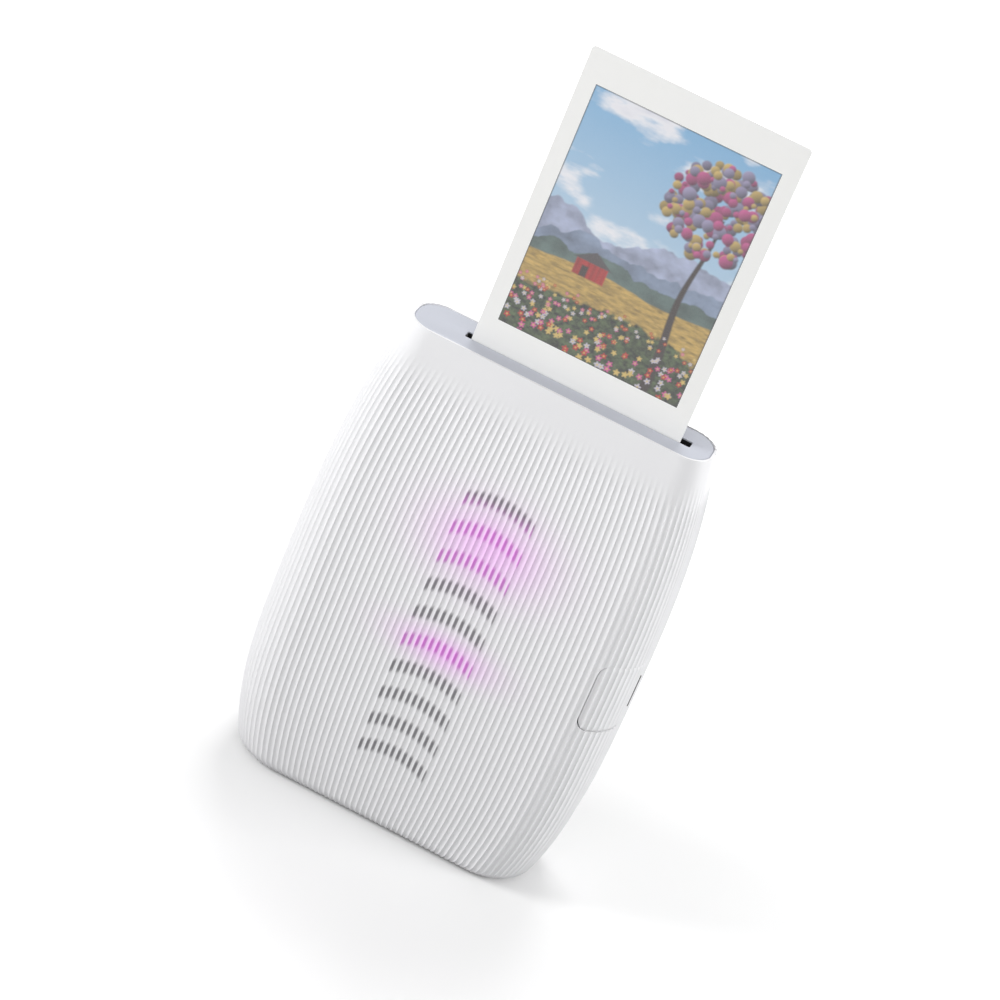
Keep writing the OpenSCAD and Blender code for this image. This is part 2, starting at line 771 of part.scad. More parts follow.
module chassis() {
    color("dimgray") difference() {
        union() {
            block([frame_left, frame_front, pack_z - chassis_t], [frame_right, frame_back, head_low - air]);
            block([frame_left, frame_front, pack_z - chassis_t], [frame_right, frame_rear, pack_z]);
            for (x = [frame_left, frame_right - chassis_t])
                block([x, frame_front, pack_z - chassis_t], [x + chassis_t, frame_rear, frame_top]);
            // Cheek for the motor and the gear train
            block(
                [frame_left, cheek_front, motor_axis[1] - motor_h / 2 - 1],
                [frame_left + chassis_t, frame_front, pillar_z + cheek_edge]
            );
            block(
                [frame_left, front_roller_y - cheek_reach, pillar_z],
                [frame_left + chassis_t, frame_front, frame_top]
            );
            for (p = foot_places) rod_z(p[0], p[1], foot_z, pack_z - chassis_t, foot_r);
            // Stud that carries the key's board
            rod_x(mark_y, key_z, frame_right, switch_x - board_t, stud_r);
        }
        for (p = foot_places) rod_z(p[0], p[1], 0, pack_z - gap, screw_r + run);
        for (p = boss_places) {
            rod_y(p[0], p[1], frame_front - overlap, frame_back + overlap, screw_r + run);
            rod_y(p[0], p[1], frame_back - screw_sink, frame_back + overlap, screw_head_r + run);
        }
        through_cheek(motor_axis, neck_r + sink);
        for (p = gear_post_places) through_cheek(p, post_r);
        for (p = pillar_places) through_cheek(p, screw_r);
    }
}
module through_cheek(p, r) {
    rod_x(p[0], p[1], frame_left - overlap, frame_left + chassis_t + overlap, r);
}
module chassis_screws() {
    color("silver") for (p = boss_places)
        translate([p[0], frame_back - sink, p[1]]) rotate([90, 0, 0])
            screw(frame_face - sink + bore_deep - gap);
}

// ---- film ----

spring_hole_w = 12;
spring_hole_h = 36;
spring_hole_r = 2;
spring_reach = 14;
spring_places = [film_x - spring_reach, film_x + spring_reach];
spring_z = pack_z + pack_h / 2;
slit_h = 2;
slit_side = 0.5;
slit_back = 0.35;
module film_pack() {
    color("black") difference() {
        block([pack_left, pack_front, pack_z], [pack_right, pack_back, pack_top]);
        block(
            [pack_left + pack_wall, pack_front + pack_wall, pack_z + pack_wall],
            [pack_right - pack_wall, pack_back - pack_wall, pack_top - pack_wall]
        );
        // Exposure window, and the slit that the top sheet leaves by
        block(
            [film_x - image_w / 2, pack_front - overlap, spring_z - image_h / 2],
            [film_x + image_w / 2, film_front, spring_z + image_h / 2]
        );
        block(
            [film_x - film_w / 2 - slit_side, pack_front + pack_wall, pack_top - slit_h],
            [film_x + film_w / 2 + slit_side, film_back + slit_back, pack_top + overlap]
        );
        for (x = spring_places) window_y(
            x - spring_hole_w / 2, x + spring_hole_w / 2,
            spring_z - spring_hole_h / 2, spring_z + spring_hole_h / 2,
            pack_back - 2 * pack_wall, pack_back + overlap, spring_hole_r
        );
    }
}
sheet_air = 0.12;
sheet_pitch = film_t + sheet_air;
stack_air = 0.3;
stack_front = film_back + stack_air;
sheet_low = pack_z + pack_wall + sink;
stack_back = stack_front + (spare_sheets - 1) * sheet_pitch + film_t;
module film_stack() {
    color("ivory") for (k = [0:spare_sheets - 1])
        block(
            [film_x - film_w / 2, stack_front + k * sheet_pitch, sheet_low],
            [film_x + film_w / 2, stack_front + k * sheet_pitch + film_t, sheet_low + film_h]
        );
}
plate_side = 1;
plate_front = stack_back + 0.15;
plate_back = plate_front + 0.6;
tongue_w = 16;
tongue_h = 4;
leaf_t = 0.4;
tongue_reach = 30;
module pack_plate() {
    color("darkslategray") {
        block(
            [film_x - film_w / 2 - plate_side, plate_front, sheet_low],
            [film_x + film_w / 2 + plate_side, plate_back, sheet_low + film_h]
        );
        // Spring tongues that bear on the pack's back
        for (middle = [spring_z - tongue_reach, spring_z + tongue_reach])
            for (z = [middle - tongue_h / 2, middle + tongue_h / 2 - leaf_t]) block(
                [film_x - tongue_w / 2, plate_back, z],
                [film_x + tongue_w / 2, pack_back - pack_wall - sink, z + leaf_t]
            );
    }
}
sheet_r = 1;
image_t = 0.1;
module film_sheet() {
    color("white") difference() {
        window_y(
            film_x - film_w / 2, film_x + film_w / 2, film_bottom, film_top,
            film_front, film_back, sheet_r
        );
        image_block(overlap);
    }
}
module image_block(proud) {
    block(
        [film_x - image_w / 2, film_front - proud, film_top - image_border - image_h],
        [film_x + image_w / 2, film_front + image_t, film_top - image_border]
    );
}
module film_image() {
    color("lightsteelblue") image_block(0);
}

// ---- film door ----

tail_t = 1;
tail_w = 10;
tail_above = 2;
tail_back = back_depth(door_top + tail_above) - wall - gap;
tail_front = tail_back - tail_t;
pad_inset = 3.2;
pad_h = 7;
pad_high = door_top - pad_inset;
pad_low = pad_high - pad_h;
pad_hole_low = pad_low - latch_travel - gap;
pad_inside = back_depth(pad_high + gap) - wall - gap;
rail_t = 1.5;
rail_past = 2;
rail_deep = 0.7;
rail_lip = 1;
rail_low = pad_hole_low - rail_past;
rail_high = door_top - 1;
spring_l = 6.05;
latch_past = 1.5;
latch_low = pad_low - latch_past;
seat_top = latch_low - spring_l;
seat_w = 8;
seat_t = 1.2;
door_window_w = 12;
door_window_h = 6;

module film_door() {
    color("white") {
        difference() {
            intersection() {
                rear_form();
                door_opening(0);
            }
            difference() {
                cavity(wall);
                rod_x(hinge_y, hinge_z, door_left, door_right, hinge_r);
            }
            for (x = ear_places) {
                block(
                    [x - ear_w / 2 - gap, 0, 0],
                    [x + ear_w / 2 + gap, body_w, hinge_z + hinge_r + gap]
                );
                pin_rod(x, pin_past + pin_end, pin_r + run);
            }
            block(
                [film_x - latch_w / 2 - gap, 0, pad_hole_low],
                [film_x + latch_w / 2 + gap, body_w, pad_high + gap]
            );
            window_block();
        }
        // Rails that guide the latch, cut back behind its pad, and the seat of its spring
        intersection() {
            rear_form();
            difference() {
                union() {
                    for (side = [-1, 1]) rail_block(side);
                    block(
                        [film_x - seat_w / 2, tail_front, seat_top - seat_t],
                        [film_x + seat_w / 2, body_w, seat_top]
                    );
                }
                block(
                    [film_x - body_w, pad_inside, pad_hole_low],
                    [film_x + body_w, body_w, pad_high + gap]
                );
            }
        }
        for (side = [-1, 1]) lip_block(side);
    }
}
module rail_block(side) {
    x = film_x + side * (tail_w / 2 + gap + rail_t / 2);
    block([x - rail_t / 2, tail_front - rail_deep, rail_low], [x + rail_t / 2, body_w, rail_high]);
}
// Lip of a rail, inside the latch's tongue
module lip_block(side) {
    lip_w = rail_lip + gap + 2 * sink;
    x = film_x + side * (tail_w / 2 - rail_lip + lip_w / 2);
    block(
        [x - lip_w / 2, tail_front - rail_deep, rail_low],
        [x + lip_w / 2, tail_front - gap, rail_high]
    );
}
module window_block() {
    block(
        [film_x - door_window_w / 2, 0, spring_z - door_window_h / 2],
        [film_x + door_window_w / 2, body_w, spring_z + door_window_h / 2]
    );
}
module door_window() {
    color("darkslategray") difference() {
        intersection() {
            rear_form();
            window_block();
        }
        cavity(wall);
    }
}
// Depth of the door's inner face, which is straight between the rows of the cavity
function inside_back(z) = lookup(z, [for (row = cavity_rows) [row, back_depth(row) - wall]]);
spring_w = 9;
spring_half = 14;
spring_front = pack_back + 0.5;
module door_springs() {
    color("silver") for (x = spring_places) {
        block(
            [x - spring_w / 2, spring_front, spring_z - spring_half],
            [x + spring_w / 2, spring_front + leaf_t, spring_z + spring_half]
        );
        for (z = [spring_z - spring_half, spring_z + spring_half - leaf_t]) block(
            [x - spring_w / 2, spring_front + leaf_t, z],
            [x + spring_w / 2, min(inside_back(z), inside_back(z + leaf_t)), z + leaf_t]
        );
    }
}
module pin_rod(x, past, r) {
    rod_x(hinge_y, hinge_z, x - ear_w / 2 - past, x + ear_w / 2 + past, r);
}
module hinge_pins() {
    color("silver") for (x = ear_places) pin_rod(x, pin_past, pin_r);
}
groove_count = 4;
groove_pitch = 1.4;
groove_r = 0.6;
groove_out = 0.35;
groove_inset = 2;
shank_side = 1.5;
shank_end_z = 0.6;
module door_latch() {
    color("white") {
        difference() {
            intersection() {
                rear_form();
                block([film_x - latch_w / 2, 0, pad_low], [film_x + latch_w / 2, body_w, pad_high]);
            }
            cavity(wall);
            // Finger grooves
            for (k = [1:groove_count]) let (z = pad_low + k * groove_pitch) rod_x(
                back_depth(z) + groove_out, z,
                film_x - latch_w / 2 + groove_inset, film_x + latch_w / 2 - groove_inset, groove_r
            );
        }
        block(
            [film_x - tail_w / 2 + shank_side, tail_front, pad_low + shank_end_z],
            [film_x + tail_w / 2 - shank_side, back_depth(pad_high) - wall / 2, pad_high - shank_end_z]
        );
        block(
            [film_x - tail_w / 2, tail_front, latch_low],
            [film_x + tail_w / 2, tail_back, door_top]
        );
    }
}
wire_w = 0.3;
wire_t = 0.8;
turn_w = 3;
turns = 4;
turn_h = 1.35;
module latch_spring() {
    color("silver") translate([0, tail_back, 0]) rotate([90, 0, 0]) linear_extrude(wire_t)
        for (k = [0:turns - 1]) zigzag(seat_top + wire_w + k * turn_h);
}
module zigzag(z) {
    polygon([
        [film_x - turn_w, z], [film_x + turn_w, z + turn_h / 2], [film_x - turn_w, z + turn_h],
        [film_x - turn_w, z + turn_h + wire_w], [film_x + turn_w + wire_w, z + turn_h / 2],
        [film_x - turn_w, z - wire_w]
    ]);
}

// ---- power key ----

key_t = 1.6;
key_margin = 2;
belly_step = belly_rows[1] - belly_rows[0];
key_rows = [for (z = body_rows) if (abs(z - key_z) < key_h / 2 + belly_step) z];
function column_of(s) = (s / to_parting(key_section) + 1) / 2 * rib_columns;
key_first = floor(column_of(key_start - key_margin));
key_last = ceil(column_of(key_end + key_margin));
key_back_step = 6;
module key_form() {
    intersection() {
        lofted([for (z = key_rows) let (c = section(z)) concat(
            [for (k = [key_first:key_last]) let (p = rib_point(k, z)) [p[0], p[1], z]],
            [for (k = [key_last:-key_back_step:key_first])
                let (p = outline_point(c, rib_place(k) * to_parting(c), -key_t)) [p[0], p[1], z]]
        )], false);
        key_cutter(0);
    }
}
mark_deep = 0.7;
module mark_block() {
    block(
        [half_width(key_z) - mark_deep, mark_y - mark_w / 2, key_z - mark_l / 2],
        [half_width(key_z) + overlap, mark_y + mark_w / 2, key_z + mark_l / 2]
    );
}
// The switch stands just inside the key, on a board that the chassis carries
key_nub = 0.4;
switch_air = 0.35;
switch_w = 6;
switch_body = 1.5;
button_h = 0.7;
button_r = 1.5;
switch_tip = half_width(key_z) - key_t - key_nub - switch_air;
switch_x = switch_tip - button_h - switch_body;
key_board_w = 10;
key_board_h = 14;
module power_key() {
    color("white") {
        difference() {
            key_form();
            mark_block();
        }
        rod_x(mark_y, key_z, switch_tip + switch_air, half_width(key_z) - key_t / 2, button_r);
    }
}
module key_mark() {
    color("dimgray") intersection() {
        key_form();
        mark_block();
    }
}
module side_board() {
    color("darkgreen") block(
        [switch_x - board_t, mark_y - key_board_w / 2, key_z - key_board_h / 2],
        [switch_x, mark_y + key_board_w / 2, key_z + key_board_h / 2]
    );
}
module tact_switch() {
    color("silver") {
        block(
            [switch_x, mark_y - switch_w / 2, key_z - switch_w / 2],
            [switch_x + switch_body, mark_y + switch_w / 2, key_z + switch_w / 2]
        );
        rod_x(mark_y, key_z, switch_x + switch_body, switch_tip, button_r);
    }
}

// ---- drive ----

pressure_angle = 25;
addendum = 0.8;
dedendum = 1.1;
flank_steps = 3;
least_flank = 0.05;
function involute(a) = tan(a) * 180 / PI - a;
function tooth_half(n, r) =
    let (rp = pitch_r(n), a = acos(min(1, rp * cos(pressure_angle) / r)))
    90 / n - backlash / rp / 2 * 180 / PI + involute(pressure_angle) - involute(a);
// Points [radius, angle] of a gear's outline: root, one flank, the other flank, root
function gear_points(n) =
    let (rp = pitch_r(n), rr = rp - dedendum * gear_module, rt = rp + addendum * gear_module,
        rb = max(rr + least_flank, rp * cos(pressure_angle)),
        radii = [for (k = [0:flank_steps]) rb + (rt - rb) * k / flank_steps])
    [for (i = [0:n - 1]) let (a = i * 360 / n) each concat(
        [[rr, a - tooth_half(n, rb)]],
        [for (r = radii) [r, a - tooth_half(n, r)]],
        [for (k = [flank_steps:-1:0]) [radii[k], a + tooth_half(n, radii[k])]],
        [[rr, a + tooth_half(n, rb)]]
    )];
// Gear with its axis along X, from x0 to x0 + gear_w, with a tooth at the angle phase in the Y-Z plane
module spur(n, axis, x0, phase, bore) {
    translate([x0, axis[0], axis[1]]) rotate([90, 0, 90]) difference() {
        linear_extrude(gear_w) polygon([
            for (p = gear_points(n)) p[0] * [cos(p[1] + phase), sin(p[1] + phase)]
        ]);
        translate([0, 0, -overlap]) cylinder(gear_w + 2 * overlap, bore, bore);
    }
}
function bearing_of(from, to) = atan2(to[1] - from[1], to[0] - from[0]);
// Phase of a gear with n2 teeth that meshes with one of n1 teeth at phase a, in the direction d
function follow(a, n1, d, n2) = d + 180 + 180 / n2 - (a - d) * n1 / n2;

phase_front = 0;
phase_back = follow(phase_front, roller_teeth, bearing_of(front_axis, back_axis), roller_teeth);
phase_idler = follow(phase_front, roller_teeth, bearing_of(front_axis, idler_axis), idler_teeth);
phase_upper = follow(phase_idler, idler_teeth, bearing_of(idler_axis, upper_axis), small_teeth);
phase_lower = follow(0, wheel_teeth, bearing_of(upper_axis, lower_axis), small_teeth);
phase_pinion = follow(0, wheel_teeth, bearing_of(lower_axis, motor_axis), pinion_teeth);
gear_post_places = [idler_axis, upper_axis, lower_axis];

module bearing_plate(x0) {
    difference() {
        union() {
            block(
                [x0, front_roller_y - journal_r - bearing_rim, frame_top],
                [x0 + bearing_t, bearing_back, nip_z]
            );
            for (y = [front_roller_y, back_roller_y])
                rod_x(y, nip_z, x0, x0 + bearing_t, journal_r + bearing_rim);
            block(
                [x0, front_roller_y, nip_z],
                [x0 + bearing_t, back_roller_y, nip_z + journal_r + bearing_rim]
            );
        }
        for (y = [front_roller_y, back_roller_y])
            rod_x(y, nip_z, x0 - overlap, x0 + bearing_t + overlap, journal_r + run);
    }
}
module bearing_left() {
    color("ivory") bearing_plate(bearing_left_x);
}
module bearing_right() {
    color("ivory") bearing_plate(bearing_right_x);
}
// Leaf behind each bearing, with a foot on top of the chassis
nip_leaf_w = 1.4;
nip_leaf_foot = 1.6;
nip_leaf_rise = 2;
module nip_springs() {
    color("silver") for (x = [bearing_left_x, frame_right - nip_leaf_w]) {
        block(
            [x, bearing_back, frame_top + leaf_t],
            [x + nip_leaf_w, bearing_back + leaf_t, nip_z + nip_leaf_rise]
        );
        block(
            [x, bearing_back, frame_top],
            [x + nip_leaf_w, bearing_back + nip_leaf_foot, frame_top + leaf_t]
        );
    }
}
module spread_roller(y) {
    rod_x(y, nip_z, roller_left, roller_right, roller_r);
    rod_x(y, nip_z, plane_a - gear_w - shaft_end, bearing_right_x + bearing_t + shaft_end, journal_r);
}
module front_roller() {
    color("silver") spread_roller(front_roller_y);
}
module back_roller() {
    color("silver") spread_roller(back_roller_y);
}
module front_roller_gear() {
    color("ivory") spur(roller_teeth, front_axis, plane_a - gear_w, phase_front, journal_r);
}
module back_roller_gear() {
    color("ivory") spur(roller_teeth, back_axis, plane_a - gear_w, phase_back, journal_r);
}
module idler_gear() {
    color("ivory") spur(idler_teeth, idler_axis, plane_a - gear_w, phase_idler, post_r + run);
}
// Small gear next to the frame and a wheel beside it, on one hub
hub_r = 2;
module reduction(axis, small_x, wheel_x, small_phase) {
    spur(small_teeth, axis, small_x, small_phase, post_r + run);
    spur(wheel_teeth, axis, wheel_x, 0, post_r + run);
    difference() {
        rod_x(axis[0], axis[1], wheel_x + gear_w - sink, small_x + sink, hub_r);
        rod_x(axis[0], axis[1], wheel_x, small_x + overlap, post_r + run);
    }
}
module upper_reduction_gear() {
    color("ivory") reduction(upper_axis, plane_a - gear_w, plane_b - gear_w, phase_upper);
}
module lower_reduction_gear() {
    color("ivory") reduction(lower_axis, plane_b - gear_w, plane_c - gear_w, phase_lower);
}
// Slotted disc on the motor's shaft, and the forked sensor that reads it
fork_t = 0.8;
fork_air = 0.3;
fork_lift = 0.2;
disc_t = 0.6;
disc_r = 3.9;
disc_x = motor_right + fork_lift + fork_t + fork_air;
disc_windows = 6;
window_w = 1.4;
window_low = 2.1;
window_high = 3.2;
shaft_past = 0.3;
module motor_pinion() {
    color("gold") {
        spur(pinion_teeth, motor_axis, plane_c - gear_w, phase_pinion, post_r);
        rod_x(motor_axis[0], motor_axis[1], plane_c - gear_w, disc_x + disc_t + shaft_past, post_r);
    }
}
module encoder_disc() {
    color("black") difference() {
        rod_x(motor_axis[0], motor_axis[1], disc_x, disc_x + disc_t, disc_r);
        rod_x(motor_axis[0], motor_axis[1], disc_x - overlap, disc_x + overlap, post_r);
        for (k = [1:disc_windows])
            translate([0, motor_axis[0], motor_axis[1]]) rotate([k * 360 / disc_windows, 0, 0]) block(
                [disc_x - overlap, -window_w / 2, window_low],
                [disc_x + overlap, window_w / 2, window_high]
            );
    }
}
fork_deep = 2.4;
fork_seat = 2.5;
fork_reach = 2.4;
module encoder_sensor() {
    color("black") difference() {
        block(
            [disc_x - fork_air - fork_t, board_front - fork_deep, board_high - fork_seat],
            [disc_x + disc_t + fork_air + fork_t, board_front, motor_axis[1] - fork_reach]
        );
        block(
            [disc_x - fork_air, board_front - fork_deep - overlap, motor_axis[1] - disc_r - fork_t],
            [disc_x + disc_t + fork_air, board_front + overlap, motor_axis[1]]
        );
    }
}
module gear_posts() {
    color("silver") {
        rod_x(
            idler_axis[0], idler_axis[1],
            plane_a - gear_w - shaft_end, frame_left + chassis_t, post_r
        );
        for (p = [upper_axis, lower_axis])
            rod_x(p[0], p[1], plate_x - plate_t, frame_left + chassis_t, post_r);
    }
}
// Plate that holds the outer ends of the gear posts, on two pillars
plate_half = 2.2;
module gear_plate() {
    color("gainsboro") difference() {
        union() {
            block(
                [plate_x - plate_t, train_y - pillar_reach, pillar_z - pillar_r],
                [plate_x, train_y + pillar_reach, pillar_z + pillar_r]
            );
            block(
                [plate_x - plate_t, train_y - plate_half, lower_axis[1] - plate_half],
                [plate_x, train_y + plate_half, upper_axis[1] + plate_half]
            );
            for (p = pillar_places) rod_x(p[0], p[1], plate_x - plate_t, frame_left, pillar_r);
        }
        for (p = [upper_axis, lower_axis])
            rod_x(p[0], p[1], plate_x - plate_t - overlap, plate_x + overlap, post_r);
    }
}
module motor() {
    color("silver") difference() {
        union() {
            intersection() {
                rod_x(motor_axis[0], motor_axis[1], motor_left, motor_right, motor_h / 2);
                block(
                    [motor_left, motor_axis[0] - motor_t / 2, motor_axis[1] - motor_h],
                    [motor_right, motor_axis[0] + motor_t / 2, motor_axis[1] + motor_h]
                );
            }
            rod_x(motor_axis[0], motor_axis[1], motor_left - chassis_t, motor_left, neck_r);
        }
        rod_x(
            motor_axis[0], motor_axis[1],
            motor_left - 2 * chassis_t, motor_right + overlap, post_r + run
        );
    }
}
clamp_t = 1.2;
clamp_inset = 4;
clamp_reach = 1;
module motor_clamp() {
    color("gainsboro") for (z = [motor_axis[1] - motor_h / 2 - clamp_t, motor_axis[1] + motor_h / 2])
        block(
            [motor_left + clamp_inset, motor_axis[0] - clamp_reach, z],
            [motor_right - clamp_inset, frame_front, z + clamp_t]
        );
}

// ---- print head ----

head_side = 0.5;
head_deep = 3.6;
head_air = 1;
head_arm = 1;
module print_head() {
    color("dimgray") {
        block(
            [film_x - film_w / 2 - head_side, frame_front - head_deep, head_low],
            [film_x + film_w / 2 + head_side, film_front - head_air, head_high]
        );
        block(
            [frame_left + chassis_t, frame_front, head_low + head_arm],
            [frame_right - chassis_t, frame_back, head_high - head_arm]
        );
    }
}
lens_t = 0.65;
lens_side = 1;
lens_inset = 1.6;
module head_lens() {
    color("lightcyan") block(
        [film_x - image_w / 2 - lens_side, film_front - head_air, head_low + lens_inset],
        [film_x + image_w / 2 + lens_side, film_front - head_air + lens_t, head_high - lens_inset]
    );
}
cable_w = 4.8;
cable_t = 0.2;
cable_lap = 6;
cable_gap = 1.4;
cable_left = boss_right + boss_r + cable_gap;
module head_cable() {
    color("orange") block(
        [cable_left, board_front - cable_t, board_high - cable_lap],
        [cable_left + cable_w, board_front, head_low]
    );
}

// ---- electrics ----

battery_air = 1.6;
tape_t = 0.2;
battery_lift = 1;
battery_right = light_left - battery_air;
module battery() {
    color("silver") block(
        [battery_right - battery_w, board_front - tape_t - battery_t, board_low + battery_lift],
        [battery_right, board_front - tape_t, board_low + battery_lift + battery_h]
    );
}
module main_board() {
    color("darkgreen") block(
        [board_left, board_front, board_low],
        [board_right, board_front + board_t, board_high]
    );
}
// Each chip: distance from the light board, place as a share of the board's height, width,
// height and thickness
chips = [[2, 0.17, 10, 10, 1.2], [3, 0.44, 7, 7, 1.4], [2, 0.67, 5, 5, 2.2], [9, 0.64, 4, 8, 1]];
module board_chips() {
    color("black") for (chip = chips)
        translate([light_right + chip[0], board_front, board_low + chip[1] * (board_high - board_low)])
            block([0, -chip[4], 0], [chip[2], 0, chip[3]]);
}
socket_seat = 2;
socket_floor = 0.5;
contact_t = 0.7;
contact_w = 6.6;
contact_in = 1;
module charging_socket() {
    inner_half = socket_w / 2 - socket_wall;
    color("silver") difference() {
        block(
            [socket_left, board_front - socket_t, socket_z - socket_w / 2],
            [board_left + socket_seat, board_front, socket_z + socket_w / 2]
        );
        block(
            [socket_left - overlap, board_front - socket_t + socket_wall, socket_z - inner_half],
            [board_left - socket_floor, board_front - socket_wall, socket_z + inner_half]
        );
    }
    color("black") block(
        [socket_left + contact_in, socket_y - contact_t / 2, socket_z - contact_w / 2],
        [board_left - socket_floor + sink, socket_y + contact_t / 2, socket_z + contact_w / 2]
    );
}
pipe_heights = [for (k = [0:pipe_count - 1]) pipe_z + k * pipe_pitch];
pipe_air = 0.35;
pipe_r = pipe_h / 2 - 0.01;
module light_board() {
    color("darkgreen") block([light_left, light_front, light_low], [light_right, light_back, light_high]);
}
module light_pipes() {
    color("white") for (z = pipe_heights) window_y(
        film_x - pipe_w / 2, film_x + pipe_w / 2, z - pipe_h / 2, z + pipe_h / 2,
        -front_depth(z + pipe_h / 2) + wall + pipe_air, light_front, pipe_r
    );
}
mask_t = 1;
mask_side = 1.5;
module light_frame() {
    color("black") difference() {
        block(
            [film_x - pipe_w / 2 - mask_side, light_front - mask_t, light_low + mask_side],
            [film_x + pipe_w / 2 + mask_side, light_front, light_high - mask_side]
        );
        for (z = pipe_heights) window_y(
            film_x - pipe_w / 2 - sink, film_x + pipe_w / 2 + sink,
            z - pipe_h / 2 - sink, z + pipe_h / 2 + sink,
            light_front - mask_t - overlap, light_front + overlap, pipe_r
        );
    }
}
light_spacer_r = 1.2;
board_spacer_r = 1.5;
spacer_inset = 4;
spacer_side = 2;
module board_spacers() {
    color("gainsboro") for (x = [light_left + spacer_side, light_right - spacer_side]) {
        for (z = [light_low + spacer_inset, board_high - spacer_inset])
            rod_y(x, z, light_back, board_front, light_spacer_r);
        rod_y(x, light_high - spacer_inset, light_back, frame_front, light_spacer_r);
    }
    color("gainsboro") for (x = [frame_left + spacer_side, board_right - spacer_inset])
        for (z = [board_low + spacer_inset, board_high - spacer_inset])
            rod_y(x, z, board_front + board_t, frame_front, board_spacer_r);
}

front_housing();
rear_housing();
top_cap();
base_cap();
base_screws();
chassis();
chassis_screws();
film_pack();
film_stack();
pack_plate();
light_seal();
film_sheet();
film_image();
film_door();
door_window();
door_springs();
hinge_pins();
door_latch();
latch_spring();
power_key();
key_mark();
bearing_left();
bearing_right();
nip_springs();
front_roller();
front_roller_gear();
back_roller();
back_roller_gear();
idler_gear();
upper_reduction_gear();
lower_reduction_gear();
motor_pinion();
encoder_disc();
encoder_sensor();
gear_posts();
gear_plate();
motor();
motor_clamp();
print_head();
head_lens();
head_cable();
battery();
main_board();
board_chips();
charging_socket();
light_board();
light_pipes();
light_frame();
board_spacers();
side_board();
tact_switch();
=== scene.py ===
"""Compact photo printer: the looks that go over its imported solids.

Every piece is built in metres in the frame's own axes: X to the right, Y to the back, Z up,
with the origin in the middle of the base. Each has its own operator, and the sizes and
colours that a user would change are in three property groups on the scene.
"""

import json
import math

import bmesh
import bpy
import numpy as np
from mathutils import Matrix, Vector


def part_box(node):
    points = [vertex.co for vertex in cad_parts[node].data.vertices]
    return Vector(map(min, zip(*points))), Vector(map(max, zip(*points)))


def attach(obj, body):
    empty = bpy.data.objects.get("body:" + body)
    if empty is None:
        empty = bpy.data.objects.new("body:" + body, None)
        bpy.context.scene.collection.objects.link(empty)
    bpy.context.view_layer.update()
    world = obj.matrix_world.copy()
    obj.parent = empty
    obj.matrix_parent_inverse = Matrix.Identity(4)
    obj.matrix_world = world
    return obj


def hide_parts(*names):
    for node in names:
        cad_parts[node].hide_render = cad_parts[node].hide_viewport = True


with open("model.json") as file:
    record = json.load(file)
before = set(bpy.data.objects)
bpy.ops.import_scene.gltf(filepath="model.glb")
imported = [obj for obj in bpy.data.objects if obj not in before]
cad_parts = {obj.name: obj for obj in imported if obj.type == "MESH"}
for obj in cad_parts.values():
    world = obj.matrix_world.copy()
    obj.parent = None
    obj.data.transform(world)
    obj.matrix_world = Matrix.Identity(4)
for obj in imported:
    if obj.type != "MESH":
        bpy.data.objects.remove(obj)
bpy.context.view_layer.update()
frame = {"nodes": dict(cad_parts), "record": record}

bl_info = {
    "name": "Compact photo printer",
    "version": (1, 0, 0),
    "blender": (4, 5, 0),
    "location": "View3D > Sidebar > Printer",
    "description": "Builds the printer's housings, key, film door, print, finishes and studio",
    "category": "Add Mesh",
}

MM = 0.001
BODY_TOP = float(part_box("front_housing")[1][2])
FILM_LOW, FILM_HIGH = (np.array(corner, float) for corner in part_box("film_sheet"))
IMAGE_LOW, IMAGE_HIGH = (np.array(corner, float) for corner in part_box("film_image"))
MARK_LOW, MARK_HIGH = (np.array(corner, float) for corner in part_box("key_mark"))
slots = {s["node"]: s["material_slot"] for s in frame["record"]["subparts"]}

# The form's curves
WIDTH_POWER = 3.0
DEPTH_POWER = 2.3
PARTING_TURN = math.radians(15)
WALL = 1.8 * MM
CAP_LIP, CAP_LIP_DEEP = 0.6 * MM, 2 * MM

# Angles past which an edge stays crisp, in degrees
CRISP_SKIN, CRISP_CAP, CRISP_SOLID, CRISP_REAR = 50, 40, 30, 28

DEEP_BLACK = (0.006, 0.006, 0.007)


def length(label, description, default):
    """A size in metres, shown with its unit."""
    return bpy.props.FloatProperty(
        name=label, description=description, default=default, min=0.0,
        unit="LENGTH", precision=5,
    )


def colour(label, description, default):
    """A colour that a user picks."""
    return bpy.props.FloatVectorProperty(
        name=label, description=description, default=default,
        size=3, min=0.0, max=1.0, subtype="COLOR",
    )


class PrinterForm(bpy.types.PropertyGroup):
    """Sizes of the swelling body."""

    waist_width: length("Waist width", "Greatest width of the body", 90.3 * MM)
    top_width: length("Top width", "Width at the top", 77.6 * MM)
    base_width: length("Base width", "Width at the base", 79 * MM)
    waist_height: length("Waist height", "Height of the widest place", 48 * MM)
    front_waist: length("Front at waist", "Depth in front at the waist", 17.4 * MM)
    front_top: length("Front at top", "Depth in front at the top", 9.1 * MM)
    front_base: length("Front at base", "Depth in front at the base", 15 * MM)
    back_waist: length("Back at waist", "Depth behind at the waist", 17.2 * MM)
    back_top: length("Back at top", "Depth behind at the top", 7.4 * MM)
    back_base: length("Back at base", "Depth behind at the base", 15 * MM)
    corner_waist: length("Corner at waist", "Plan radius at the waist", 12 * MM)
    corner_top: length("Corner at top", "Plan radius at the top", 6.9 * MM)
    corner_base: length("Corner at base", "Plan radius at the base", 12.8 * MM)
    base_edge: length("Base edge", "Radius of the edge along the base", 3.5 * MM)


